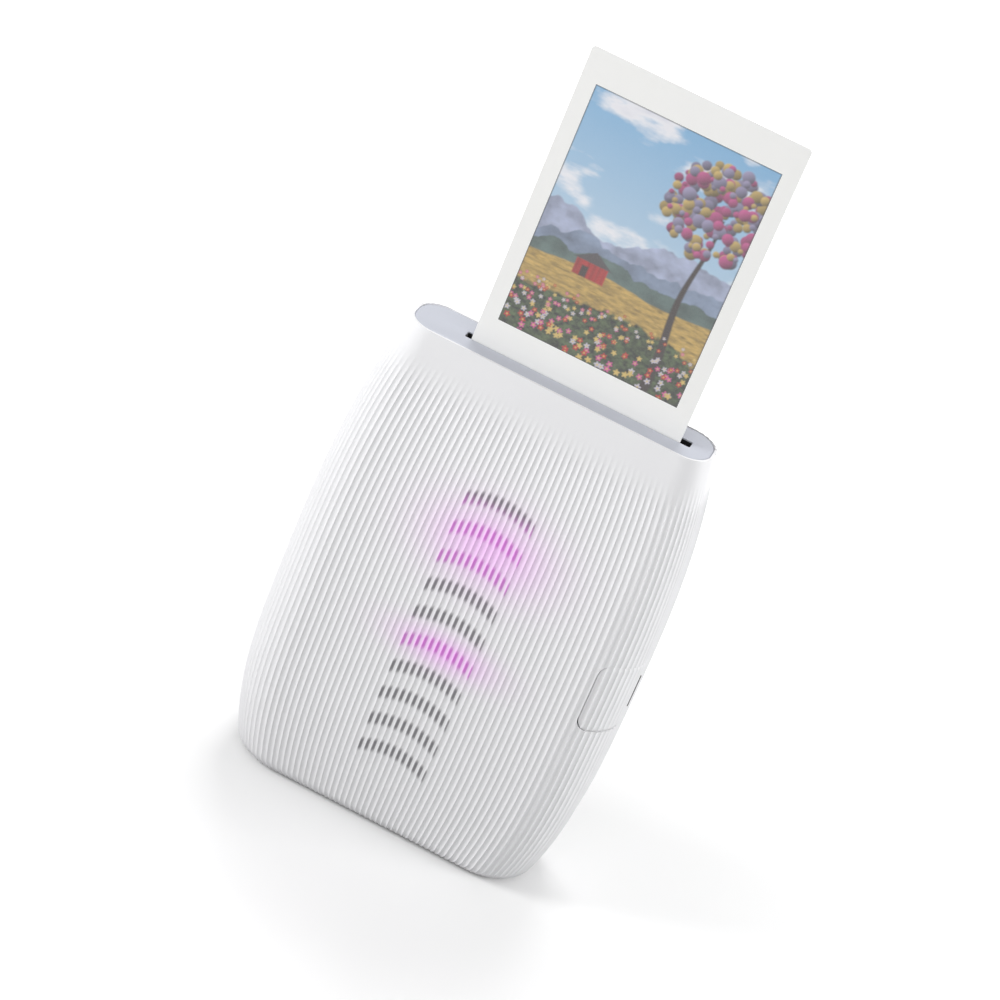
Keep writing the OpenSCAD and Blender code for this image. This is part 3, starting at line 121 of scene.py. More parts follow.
class PrinterDetail(bpy.types.PropertyGroup):
    """Sizes of the ribs, the key, the top cap and its film slot."""

    ribs: bpy.props.IntProperty(
        name="Ribs", description="Ribs round the front and both sides", default=84, min=20
    )
    rib_rise: length("Rib rise", "Height of a rib above its groove", 0.3 * MM)
    fade_top: length("Plain band", "Height of the plain band below the top", 7 * MM)
    fade: length("Fade", "Length over which the ribs fade in", 7 * MM)
    key_height: length("Key middle", "Height of the power key's middle", 61.3 * MM)
    key_tall: length("Key height", "Height of the power key itself", 18.5 * MM)
    key_front: length("Key front", "Depth of the key's front edge", 16.7 * MM)
    key_back: length("Key back", "Depth of the key's rear edge", 5.2 * MM)
    key_round: length("Key corner", "Corner radius of the key", 3 * MM)
    key_gap: length("Key gap", "Gap round the key", 0.16 * MM)
    cap_gap: length("Cap gap", "Gap round the top cap", 0.12 * MM)
    slot_width: length("Slot width", "Width of the film slot", 58.2 * MM)
    slot_depth: length("Slot depth", "Depth of the film slot, front to back", 3.2 * MM)


class PrinterColours(bpy.types.PropertyGroup):
    """Colours of the finishes."""

    shell: colour("Shell", "White of the housings", (0.84, 0.84, 0.855))
    cap: colour("Cap", "Cool grey of the top cap", (0.51, 0.53, 0.595))
    film: colour("Film", "White of the film's border", (0.93, 0.93, 0.915))
    light: colour("Light", "Colour of the lit dashes", (0.60, 0.09, 0.60))
    # Painted glow: the column's light painted into the shell's colour about the lit dashes
    haze: colour("Haze", "Tint of the shell about the lit dashes", (0.84, 0.43, 0.87))
    unlit: colour("Unlit", "Dark paint of the dashes that are off", (0.055, 0.052, 0.062))


# ---- the form ----


class Form:
    """The body's sections. A section is a rounded rectangle: half width, depth in front,
    depth behind and corner radius. Each swells from the top and the base to the waist by a
    power of the height's share of the way."""

    def __init__(self, sizes):
        self.p = sizes

    def swell(self, z, top, waist, base, power):
        """Waist value less the loss at the end, times the share of the way raised to power."""
        waist_z = self.p.waist_height
        above = z > waist_z
        share = np.where(above, (z - waist_z) / (BODY_TOP - waist_z), (waist_z - z) / waist_z)
        end = np.where(above, top, base)
        return waist - (waist - end) * np.clip(share, 0, None) ** power

    def section(self, z, inset=0.0):
        """The four sizes at height z, drawn in by inset and by the rounded base edge."""
        p = self.p
        z = np.asarray(z, float)
        edge = p.base_edge
        low = np.clip(edge - z, 0, edge)
        inset = inset + np.where(z < edge, edge - np.sqrt(edge**2 - low**2), 0.0)
        half = self.swell(z, p.top_width / 2, p.waist_width / 2, p.base_width / 2, WIDTH_POWER)
        sizes = [half]
        for side in ("front", "back", "corner"):
            top, waist, base = (getattr(p, side + at) for at in ("_top", "_waist", "_base"))
            sizes.append(self.swell(z, top, waist, base, DEPTH_POWER))
        return tuple(size - inset for size in sizes)

    @staticmethod
    def lengths(c):
        """Lengths along half the outline to the front corner's start, the side, the rear
        corner and the back."""
        start = c[0] - c[3]
        side = start + c[3] * math.pi / 2
        rear = side + c[1] + c[2] - 2 * c[3]
        back = rear + c[3] * math.pi / 2
        return start, side, rear, back

    def to_parting(self, c):
        """Length from the middle of the front to the parting line."""
        return self.lengths(c)[2] + c[3] * PARTING_TURN

    def point(self, c, s, raised):
        """X and Y at signed length s along the outline: the moving centre plus the corner
        radius in the direction that the outline faces there."""
        start, side, rear, back = self.lengths(c)
        r = c[3]
        a = np.abs(s)
        turn = np.select(
            [a < start, a < side, a < rear, a < back],
            [0.0, (a - start) / r, math.pi / 2, math.pi / 2 + (a - rear) / r],
            math.pi,
        )
        centre_x = np.select(
            [a < start, a < back], [a, start + 0 * a], start - (a - back)
        )
        centre_y = np.select(
            [a < side, a < rear], [r - c[1] + 0 * a, r - c[1] + a - side], c[2] - r + 0 * a
        )
        reach = r + raised
        x = np.sign(s) * (centre_x + reach * np.sin(turn))
        return x, centre_y - reach * np.cos(turn)

    def surface(self, z, s, raised):
        """Points of the body at heights z and lengths s, raised square to the outline."""
        x, y = self.point(self.section(z), s, raised)
        return np.stack([x, y, z + 0 * x], axis=-1)


def smooth(t):
    """Three t squared less two t cubed, held between 0 and 1."""
    t = np.clip(t, 0, 1)
    return t * t * (3 - 2 * t)


class Ribs:
    """Flutes across the front and both sides, counted from the left parting line. A flute's
    middle is at a whole number and the crest between two of them at a half."""

    PITCH = 1.63 * MM
    EVEN = 22
    READINGS = 20

    def __init__(self, form, detail):
        self.form = form
        self.d = detail

    def length(self, z, rib):
        """Length along the outline of rib number `rib` at height z. From the middle the pitch
        follows the body's width; past the first EVEN ribs a square term brings the last one
        to the parting line."""
        c = self.form.section(z)
        half = self.d.ribs / 2
        pitch = self.PITCH * c[0] / (self.form.p.waist_width / 2)
        from_middle = np.abs(rib - half)
        past = np.clip((from_middle - self.EVEN) / (half - self.EVEN), 0, None)
        rest = self.form.to_parting(c) - pitch * half
        return np.sign(rib - half) * (pitch * from_middle + rest * past**2)

    def number(self, z, s):
        """Rib number at signed length s and height z, read off a table of lengths."""
        table = np.linspace(0, self.d.ribs, self.READINGS * self.d.ribs + 1)
        return np.interp(s, self.length(np.full_like(table, z), table), table)

    def raised(self, z, rib):
        """How far the surface stands off the outline: a shallow bowl across each flute, as
        one less the square of the way to its crest, and faded out towards the top."""
        away = 2 * np.abs(rib - np.round(rib))
        fade = smooth((BODY_TOP - self.d.fade_top - z) / self.d.fade)
        return -self.d.rib_rise * (1 - away**2) * fade

    def surface(self, z, rib, sunk=0.0):
        """Points of the fluted face, sunk square to it."""
        z = z + 0 * rib
        return self.form.surface(z, self.length(z, rib), self.raised(z, rib) - sunk)


# ---- meshes ----


def linked(name, data):
    """A new object for that data, in the scene."""
    obj = bpy.data.objects.new(name, data)
    bpy.context.scene.collection.objects.link(obj)
    return obj


def new_object(name, points, faces, uv=None):
    """An object at the origin from points and quads or triangles, with optional UVs by point."""
    mesh = bpy.data.meshes.new(name)
    mesh.from_pydata([tuple(p) for p in points], [], [tuple(f) for f in faces])
    if uv is not None:
        layer = mesh.uv_layers.new(name="rib")
        loops = np.empty(len(mesh.loops), np.int32)
        mesh.loops.foreach_get("vertex_index", loops)
        layer.data.foreach_set("uv", uv[loops].astype(np.float32).ravel())
    mesh.validate()
    mesh.update()
    return linked(name, mesh)


def slab(outer, inner, keep=None):
    """Points and quads of a closed sheet between two grids of points: a face outside and one
    inside for each kept cell, and a wall wherever a kept cell has no kept neighbour."""
    rows, cols = outer.shape[:2]
    if keep is None:
        keep = np.ones((rows - 1, cols - 1), bool)
    index = np.arange(rows * cols).reshape(rows, cols)
    a, b, c, d = index[:-1, :-1], index[:-1, 1:], index[1:, 1:], index[1:, :-1]
    deep = rows * cols
    faces = [
        np.stack([a, b, c, d], -1)[keep],
        np.stack([d, c, b, a], -1)[keep] + deep,
    ]
    padded = np.pad(keep, 1)
    sides = (
        (padded[:-2, 1:-1], a, b), (padded[2:, 1:-1], c, d),
        (padded[1:-1, :-2], d, a), (padded[1:-1, 2:], b, c),
    )
    for beside, p, q in sides:
        edge = keep & ~beside
        p, q = p[edge], q[edge]
        faces.append(np.stack([q, p, p + deep, q + deep], -1))
    faces = np.concatenate(faces)
    points = np.concatenate([outer.reshape(-1, 3), inner.reshape(-1, 3)])
    used = np.unique(faces)
    renumber = np.full(len(points), -1)
    renumber[used] = np.arange(len(used))
    return points[used], renumber[faces], used


def ring(loops):
    """Points and quads of a tube that closes both ways, from a grid of points whose rows are
    loops, each one met by the next and the last by the first."""
    rows, cols = loops.shape[:2]
    a = np.arange(rows * cols).reshape(rows, cols)
    b = np.roll(a, -1, 1)
    faces = np.stack([a, b, np.roll(b, -1, 0), np.roll(a, -1, 0)], -1)
    return loops.reshape(-1, 3), faces.reshape(-1, 4)


def tile(front, depth):
    """Points and faces of a thin tile: a grid of points in front, its rim carried back by
    depth, and one flat face behind."""
    rows, cols = front.shape[:2]
    grid = np.arange(rows * cols).reshape(rows, cols)
    rim = np.concatenate([grid[0, :-1], grid[:-1, -1], grid[-1, :0:-1], grid[:0:-1, 0]])
    behind = rows * cols + np.arange(len(rim))
    points = np.concatenate([front.reshape(-1, 3), front.reshape(-1, 3)[rim] + [0, depth, 0]])
    quads = np.stack([grid[:-1, :-1], grid[:-1, 1:], grid[1:, 1:], grid[1:, :-1]], -1)
    sides = np.stack([np.roll(rim, -1), rim, behind, np.roll(behind, -1)], -1)
    return points, [*quads.reshape(-1, 4), *sides, behind[::-1]]


def shade(obj, angle):
    """Smooth shading, with the edges sharper than angle degrees left crisp."""
    mesh = obj.data
    mesh.polygons.foreach_set("use_smooth", np.ones(len(mesh.polygons), bool))
    mesh.set_sharp_from_angle(angle=math.radians(angle))


# ---- finishes ----


class Finish:
    """A node material that is built up from a few named steps."""

    def __init__(self, name):
        self.material = bpy.data.materials.new(name)
        self.material.use_nodes = True
        self.nodes = self.material.node_tree.nodes
        self.links = self.material.node_tree.links
        self.shader = self.nodes["Principled BSDF"]
        self.place = self.nodes.new("ShaderNodeTexCoord").outputs["Object"]

    def set(self, **values):
        """Sets the shader's own sockets, named with spaces as underscores."""
        for label, value in values.items():
            self.put(value, self.shader.inputs[label.replace("_", " ")])

    def put(self, value, socket):
        """Links another node's output to the socket, or sets it to a number or a colour."""
        if isinstance(value, bpy.types.NodeSocket):
            self.links.new(value, socket)
        else:
            socket.default_value = (*value, 1.0) if isinstance(value, tuple) else value

    def math(self, operation, *values):
        """The output of a Math node on numbers or sockets."""
        node = self.nodes.new("ShaderNodeMath")
        node.operation = operation
        for socket, value in zip(node.inputs, values):
            self.put(value, socket)
        return node.outputs[0]

    def mix(self, share, first, second):
        """The output of a colour mix of two colours or sockets."""
        node = self.nodes.new("ShaderNodeMix")
        node.data_type = "RGBA"
        for number, value in ((0, share), (6, first), (7, second)):
            self.put(value, node.inputs[number])
        return node.outputs[2]

    def shades(self, value, base, low):
        """A colour that runs from low times the base to the base itself as the value runs
        from 0 to 1."""
        return self.mix(value, tuple(v * low for v in base), base)

    def noise(self, size, detail=2.0, place=None):
        """Noise whose grains are about `size` across, in metres unless a place is given."""
        node = self.nodes.new("ShaderNodeTexNoise")
        node.inputs["Scale"].default_value = 1.0 / size
        node.inputs["Detail"].default_value = detail
        self.links.new(self.place if place is None else place, node.inputs["Vector"])
        return node.outputs["Fac"]

    def mapped(self, value, end, low, high):
        """A Map Range node whose `end`, From or To, runs from low to high."""
        node = self.nodes.new("ShaderNodeMapRange")
        self.links.new(value, node.inputs["Value"])
        node.inputs[end + " Min"].default_value = low
        node.inputs[end + " Max"].default_value = high
        return node

    def ramp(self, value, low, high):
        """From 0 to 1 as the value runs from low to high, eased."""
        node = self.mapped(value, "From", low, high)
        node.interpolation_type = "SMOOTHSTEP"
        return node.outputs["Result"]

    def fall(self, value, low, high):
        """One below low, nothing above high, eased between them."""
        return self.math("SUBTRACT", 1.0, self.ramp(value, low, high))

    def between(self, value, low, high):
        """A number that runs from low to high as the value runs from 0 to 1."""
        return self.mapped(value, "To", low, high).outputs["Result"]

    def parts(self, vector):
        """The X, Y and Z of a vector."""
        split = self.nodes.new("ShaderNodeSeparateXYZ")
        self.links.new(vector, split.inputs[0])
        return split.outputs

    def drive(self, label, value):
        """Links another node's output to one of the shader's inputs."""
        self.links.new(value, self.shader.inputs[label])

    def bump(self, height, distance):
        """A bump of that height field, `distance` metres tall."""
        node = self.nodes.new("ShaderNodeBump")
        node.inputs["Distance"].default_value = distance
        self.links.new(height, node.inputs["Height"])
        self.links.new(node.outputs["Normal"], self.shader.inputs["Normal"])


def moulded(name, base, roughness, grain=0.35 * MM, relief=0.006 * MM, mottle=0.03):
    """Moulded plastic: a fine spark-eroded grain, slight mottle and uneven gloss."""
    finish = Finish(name)
    broad = finish.noise(9 * MM, 3.0)
    fine = finish.noise(grain)
    finish.drive("Base Color", finish.shades(broad, base, 1 - mottle))
    finish.drive("Roughness", finish.between(fine, roughness - 0.05, roughness + 0.07))
    finish.bump(fine, relief)
    return finish


def metal(name, base, roughness):
    """Drawn or turned metal: fine lines along X and a soft sheen."""
    finish = Finish(name)
    finish.set(Metallic=1.0)
    stretch = finish.nodes.new("ShaderNodeMapping")
    long, across = 1.0 / (6 * MM), 1.0 / (0.12 * MM)
    stretch.inputs["Scale"].default_value = (long, across, across)
    finish.links.new(finish.place, stretch.inputs["Vector"])
    lines = finish.noise(1.0, place=stretch.outputs["Vector"])
    finish.drive("Base Color", finish.shades(lines, base, 0.86))
    finish.drive("Roughness", finish.between(lines, roughness, roughness + 0.16))
    finish.bump(lines, 0.004 * MM)
    return finish


def felt(name, base):
    """Short black pile."""
    finish = Finish(name)
    pile = finish.noise(0.15 * MM, 4.0)
    finish.set(Roughness=1.0, Sheen_Weight=0.4)
    finish.drive("Base Color", finish.shades(pile, base, 0.4))
    finish.bump(pile, 0.08 * MM)
    return finish


def clear(name, tint, roughness):
    """Clear or tinted moulding with faint flow marks."""
    finish = Finish(name)
    flow = finish.noise(4 * MM)
    finish.set(Transmission_Weight=0.85, IOR=1.49)
    finish.drive("Base Color", finish.shades(flow, tint, 0.9))
    finish.drive("Roughness", finish.between(flow, roughness, roughness + 0.05))
    return finish


def circuit_board(name):
    """Green solder mask over a net of tracks."""
    finish = Finish(name)
    tracks = finish.nodes.new("ShaderNodeTexBrick")
    tracks.inputs["Scale"].default_value = 1.0 / (2.6 * MM)
    tracks.inputs["Color1"].default_value = (0.010, 0.075, 0.034, 1)
    tracks.inputs["Color2"].default_value = (0.014, 0.095, 0.045, 1)
    tracks.inputs["Mortar"].default_value = (0.035, 0.19, 0.09, 1)
    tracks.inputs["Mortar Size"].default_value = 0.06
    turn = finish.nodes.new("ShaderNodeMapping")
    turn.inputs["Rotation"].default_value = (math.pi / 2, 0, 0)
    finish.links.new(finish.place, turn.inputs["Vector"])
    finish.links.new(turn.outputs["Vector"], tracks.inputs["Vector"])
    finish.drive("Base Color", tracks.outputs["Color"])
    finish.set(Roughness=0.3, Coat_Weight=0.3)
    return finish


class Column:
    """The light column: dashes in rows that follow an arch, and two patches of them lit."""

    # Rows, a dash's height, the arch's rise and half the width in ribs
    LOWEST = 22 * MM
    STEP = 8 * MM
    ROWS = 10
    TALL = 2.6 * MM
    ARCH = 2.4 * MM
    ACROSS = 5.8
    # A dash's place in its flute and its fades, and the column's
    PHASE = 0.36
    DASH_UP, DASH_ASIDE = (0.35 * TALL, TALL), (0.15, 0.34)
    END_UP, END_ASIDE = 0.2 * MM, 0.3
    PAINT = 0.74
    # Each patch's height, reach up and down and reach in ribs, and the rib that it's over
    PATCHES = ((84 * MM, 9.5 * MM, 9.0), (54.5 * MM, 4.6 * MM, 7.5))
    OVER = 0.8
    LIT_UP = (0.7, 1.25)
    # Painted glow: how far it tints the shell's colour, and how strongly the shell glows though it
    # is no lamp
    TINT, GLOW = 0.62, 0.12


def ribbed_shell(colours, ribs):
    """White shell with the light column: dashes of dark paint in the shaded side of the
    middle flutes, which are painted in the light's colour in a lit patch, and a painted glow
    about it, put into the shell's colour and a faint emission. UVs give the rib's number and the
    height."""
    finish = moulded("shell_ribbed", tuple(colours.shell), 0.42)
    place = finish.nodes.new("ShaderNodeUVMap")
    place.uv_map = "rib"
    rib, z, _ = finish.parts(place.outputs[0])
    calc = finish.math
    rib = calc("SUBTRACT", rib, ribs / 2)
    share = calc("DIVIDE", rib, Column.ACROSS)
    arch = calc("MULTIPLY", calc("MULTIPLY", share, share), Column.ARCH)
    up = calc("ADD", calc("SUBTRACT", z, Column.LOWEST + Column.ARCH / 2), arch)
    from_row = calc("PINGPONG", up, Column.STEP / 2)
    from_dash = calc("PINGPONG", calc("ADD", rib, Column.PHASE), 0.5)
    dash = calc("MULTIPLY", finish.fall(from_row, *Column.DASH_UP),
                finish.fall(from_dash, *Column.DASH_ASIDE))
    column = finish.fall(calc("ABSOLUTE", rib), Column.ACROSS - Column.END_ASIDE, Column.ACROSS)
    middle = Column.LOWEST + (Column.ROWS - 1) * Column.STEP / 2
    reach = Column.ROWS * Column.STEP / 2
    from_middle = calc("ABSOLUTE", calc("SUBTRACT", up, middle - Column.LOWEST))
    column = calc("MULTIPLY", column, finish.fall(from_middle, reach - Column.END_UP, reach))
    dash = calc("MULTIPLY", dash, column)
    # Which dashes are painted as lit, and the painted glow about each lit patch
    lit, haze = 0.0, 0.0
    for height, tall, wide in Column.PATCHES:
        rise = calc("DIVIDE", calc("SUBTRACT", z, height), tall)
        aside = calc("DIVIDE", calc("SUBTRACT", rib, Column.OVER), wide)
        off = calc("ABSOLUTE", rise)
        lit = calc("MAXIMUM", lit, finish.fall(off, *Column.LIT_UP))
        square = calc("ADD", calc("POWER", off, 2.0),
                      calc("POWER", calc("ABSOLUTE", aside), 2.0))
        haze = calc("ADD", haze, calc("EXPONENT", calc("MULTIPLY", square, -1.0)))
    broad = finish.noise(9 * MM, 3.0)
    white = finish.shades(broad, tuple(colours.shell), 0.97)
    # Painted glow: the shell's white tinted with the light's colour about the lit patches
    hazy = finish.mix(calc("MULTIPLY", haze, Column.TINT), white, tuple(colours.haze))
    # Painted light: lit dashes take the light's colour, the others dark paint
    paint = finish.mix(lit, tuple(colours.unlit), tuple(colours.light))
    painted = calc("MULTIPLY", dash, Column.PAINT)
    finish.drive("Base Color", finish.mix(painted, hazy, paint))
    # The painted glow also drives a faint emission, though the shell is no lamp
    finish.set(Emission_Color=tuple(colours.light))
    finish.drive("Emission Strength", calc("MULTIPLY", haze, Column.GLOW))
    return finish


def film_sheet(border):
    """Glossy white in front and at the edges, and matt black on the back."""
    finish = moulded("film_border", border, 0.3, 0.2 * MM, 0.002 * MM, 0.01)
    _, y, _ = finish.parts(finish.place)
    back = finish.math("GREATER_THAN", y, float(FILM_HIGH[1]) - 0.03 * MM)
    broad = finish.noise(9 * MM, 3.0)
    finish.drive("Base Color", finish.mix(back, finish.shades(broad, border, 0.99), DEEP_BLACK))
    finish.drive("Roughness", finish.between(back, 0.3, 0.7))
    finish.drive("Specular IOR Level", finish.between(back, 0.5, 0.15))
    return finish


def plain_finishes(colours):
    """The material of each CAD node that shows as it is, by the record's slot."""
    white = tuple(colours.shell)
    return {
        "housing": moulded("shell_plain", white, 0.42),
        "cap": moulded("cap_satin", tuple(colours.cap), 0.36, mottle=0.02),
        "dark_line": moulded("key_line", (0.02, 0.02, 0.024), 0.5),
        "chassis": moulded("chassis_black", (0.022, 0.022, 0.025), 0.55, 0.6 * MM, 0.02 * MM),
        "pack": moulded("pack_black", (0.008, 0.008, 0.009), 0.6, 0.5 * MM, 0.02 * MM),
        "film": film_sheet(tuple(colours.film)),
        "picture": moulded("picture_back", (0.5, 0.5, 0.55), 0.2),
        "felt": felt("seal_felt", (0.012, 0.012, 0.012)),
        "steel": metal("drawn_steel", (0.62, 0.62, 0.64), 0.24),
        "gears": moulded("acetal", (0.72, 0.69, 0.60), 0.4, 0.5 * MM, 0.004 * MM),
        "brass": metal("turned_brass", (0.72, 0.50, 0.18), 0.22),
        "frame_plastic": moulded("grey_moulding", (0.24, 0.25, 0.27), 0.5),
        "head": moulded("head_black", (0.015, 0.015, 0.017), 0.42),
        "lens": clear("head_lens", (0.82, 0.90, 0.92), 0.05),
        "window": clear("window_tint", (0.10, 0.10, 0.12), 0.08),
        "cable": moulded("polyimide", (0.55, 0.20, 0.03), 0.25, mottle=0.12),
        "cell": moulded("foil_pouch", (0.34, 0.36, 0.38), 0.3, 0.8 * MM, 0.03 * MM),
        "board": circuit_board("solder_mask"),
        "pipes": clear("light_guide", (0.88, 0.86, 0.90), 0.4),
    }


def give(obj, finish):
    """Makes that finish the object's only material."""
    obj.data.materials.clear()
    obj.data.materials.append(finish.material)


# ---- pieces ----

COLUMNS_A_RIB = 8
# Turn of the rounded base edge at which the shell starts, and its rows from there up
FIRST_TURN = math.radians(28)
EDGE_ROWS = 7
LOW_ROWS = 14
KEY_ROWS = 12
HIGH_ROWS = 26


def printer(context):
    """The form, the ribs, the details and the colours set on the scene."""
    form = Form(context.scene.printer_form)
    detail = context.scene.printer_detail
    return form, Ribs(form, detail), detail, context.scene.printer_colours


class KeyOutline:
    """The key's rounded outline in lengths along the surface and heights, grown by g."""

    def __init__(self, form, detail, g):
        c = [float(v) for v in form.section(detail.key_height)]
        self.c, self.d, self.g, self.ribs = c, detail, g, Ribs(form, detail)
        self.start = self.reach(form, -detail.key_front) - g
        self.end = self.reach(form, detail.key_back) + g
        self.round = detail.key_round + g

    def reach(self, form, y):
        """Length along the outline at which it passes depth y."""
        start, side, _, _ = form.lengths(self.c)
        centre = self.c[3] - self.c[1]
        if y > centre:
            return side + y - centre
        return start + self.c[3] * math.acos((centre - y) / self.c[3])

    def rib(self, s):
        """Rib number at that length."""
        return float(self.ribs.number(self.d.key_height, s))

    def half(self, rib):
        """Half the outline's height at a rib number: a rounded end at both sides."""
        s = self.ribs.length(self.d.key_height, rib)
        into = np.maximum(self.start + self.round - s, s - self.end + self.round)
        into = np.clip(into, 0, self.round)
        return self.d.key_tall / 2 + self.g - self.round + np.sqrt(self.round**2 - into**2)


def with_ends(columns, ends, near=0.07):
    """The columns with both ends put in, and those too near an end left out."""
    keep = np.all(np.abs(columns[:, None] - np.array(ends)[None]) > near, axis=1)
    return np.sort(np.concatenate([columns[keep], ends]))


def steps(count):
    """A column of even shares of the way, from just past 0 up to 1."""
    return np.linspace(0, 1, count + 1)[1:, None]


class PRINTER_OT_front_shell(bpy.types.Operator):
    """Ribbed front shell with its hole for the power key"""

    bl_idname = "printer.front_shell"
    bl_label = "Front shell"

    def execute(self, context):
        form, ribs, detail, colours = printer(context)
        hole = KeyOutline(form, detail, detail.key_gap)
        first, last = hole.rib(hole.start), hole.rib(hole.end)
        columns = np.linspace(0, detail.ribs, detail.ribs * COLUMNS_A_RIB + 1)
        columns = with_ends(columns, (first, last))
        within = (columns >= first) & (columns <= last)
        half = np.where(within, hole.half(np.clip(columns, first, last)), hole.half(first))
        turns = np.linspace(FIRST_TURN, math.pi / 2, EDGE_ROWS)
        edge = form.p.base_edge * (1 - np.cos(turns))
        low, high = detail.key_height - half, detail.key_height + half
        rows = np.concatenate([
            np.repeat(edge[:, None], len(columns), 1),
            edge[-1] + (low - edge[-1]) * steps(LOW_ROWS),
            low + (high - low) * steps(KEY_ROWS),
            high + (BODY_TOP - high) * steps(HIGH_ROWS),
        ])
        rib = np.repeat(columns[None], len(rows), 0)
        outer = ribs.surface(rows, rib)
        depth = np.where(rows > BODY_TOP - CAP_LIP_DEEP, CAP_LIP, WALL)
        inner = form.surface(rows, ribs.length(rows, rib), -depth)
        keep = np.ones((len(rows) - 1, len(columns) - 1), bool)
        key_low = EDGE_ROWS + LOW_ROWS - 1
        middle = (columns[:-1] + columns[1:]) / 2
        keep[key_low:key_low + KEY_ROWS, (middle > first) & (middle < last)] = False
        points, faces, used = slab(outer, inner, keep)
        uv = np.stack([rib.ravel(), rows.ravel()], -1)
        uv = np.concatenate([uv, uv])[used]
        shell = new_object("front_shell", points, faces, uv)
        shade(shell, CRISP_SKIN)
        give(shell, ribbed_shell(colours, detail.ribs))
        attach(shell, "case")
        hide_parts("front_housing")
        return {"FINISHED"}


class PRINTER_OT_power_key(bpy.types.Operator):
    """Power key that carries the ribs on round the corner, with play in front for its press"""

    bl_idname = "printer.power_key"
    bl_label = "Power key"

    THICK = 1.6 * MM
    SOFT = 0.25 * MM
    PLAY = 0.12 * MM
    ROWS = 30

    def execute(self, context):
        form, ribs, detail, colours = printer(context)
        out = KeyOutline(form, detail, 0.0)
        out.start += self.PLAY
        first, last = out.rib(out.start), out.rib(out.end)
        columns = np.arange(math.ceil(first * COLUMNS_A_RIB), last * COLUMNS_A_RIB) / COLUMNS_A_RIB
        columns = with_ends(columns, (first, last))
        half = out.half(columns)
        across = np.linspace(-1, 1, self.ROWS)[:, None]
        rows = detail.key_height + half * across
        rib = np.repeat(columns[None], self.ROWS, 0)
        s = ribs.length(detail.key_height, rib)
        along = np.minimum(s - out.start, out.end - s)
        from_edge = np.minimum(along, half * (1 - np.abs(across)))
        rolled = self.SOFT * (1 - np.clip(from_edge / self.SOFT, 0, 1)) ** 2
        outer = ribs.surface(rows, rib, rolled)
        inner = form.surface(rows, ribs.length(rows, rib), -self.THICK)
        points, faces, used = slab(outer, inner)
        uv = np.stack([rib.ravel(), rows.ravel()], -1)
        key = new_object("power_key_skin", points, faces, np.concatenate([uv, uv])[used])
        shade(key, CRISP_SKIN)
        give(key, moulded("shell_key", tuple(colours.shell), 0.42))
        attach(key, "key")
        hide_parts("power_key")
        return {"FINISHED"}


class PRINTER_OT_key_line(bpy.types.Operator):
    """Dark line that stands a hair proud of the key"""

    bl_idname = "printer.key_line"
    bl_label = "Key line"

    WIDE = 0.5 * MM
    PROUD = 0.16 * MM
    SUNK = 0.6 * MM
    ROWS, COLS = 41, 9

    def execute(self, context):
        form, ribs, detail, colours = printer(context)
        middle = KeyOutline(form, detail, 0.0).reach(form, float(MARK_LOW[1] + MARK_HIGH[1]) / 2)
        half = float(MARK_HIGH[2] - MARK_LOW[2]) / 2
        up = np.linspace(-1, 1, self.ROWS)[:, None] * half
        tip = np.clip(np.abs(up) - half + self.WIDE / 2, 0, None)
        reach = np.sqrt(np.clip((self.WIDE / 2) ** 2 - tip**2, (0.02 * MM) ** 2, None))
        across = np.linspace(-1, 1, self.COLS)[None]
        rows = detail.key_height + up + 0 * across
        s = middle + reach * across
        crown = self.PROUD * np.sqrt(1 - 0.75 * across**2) + 0 * up
        outer = form.surface(rows, s, crown)
        inner = form.surface(rows, s, -self.SUNK)
        points, faces, _ = slab(outer, inner)
        line = new_object("key_line", points, faces)
        shade(line, CRISP_SKIN)
        give(line, moulded("key_line_black", (0.012, 0.012, 0.014), 0.35))
        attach(line, "key")
        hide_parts("key_mark")
        return {"FINISHED"}


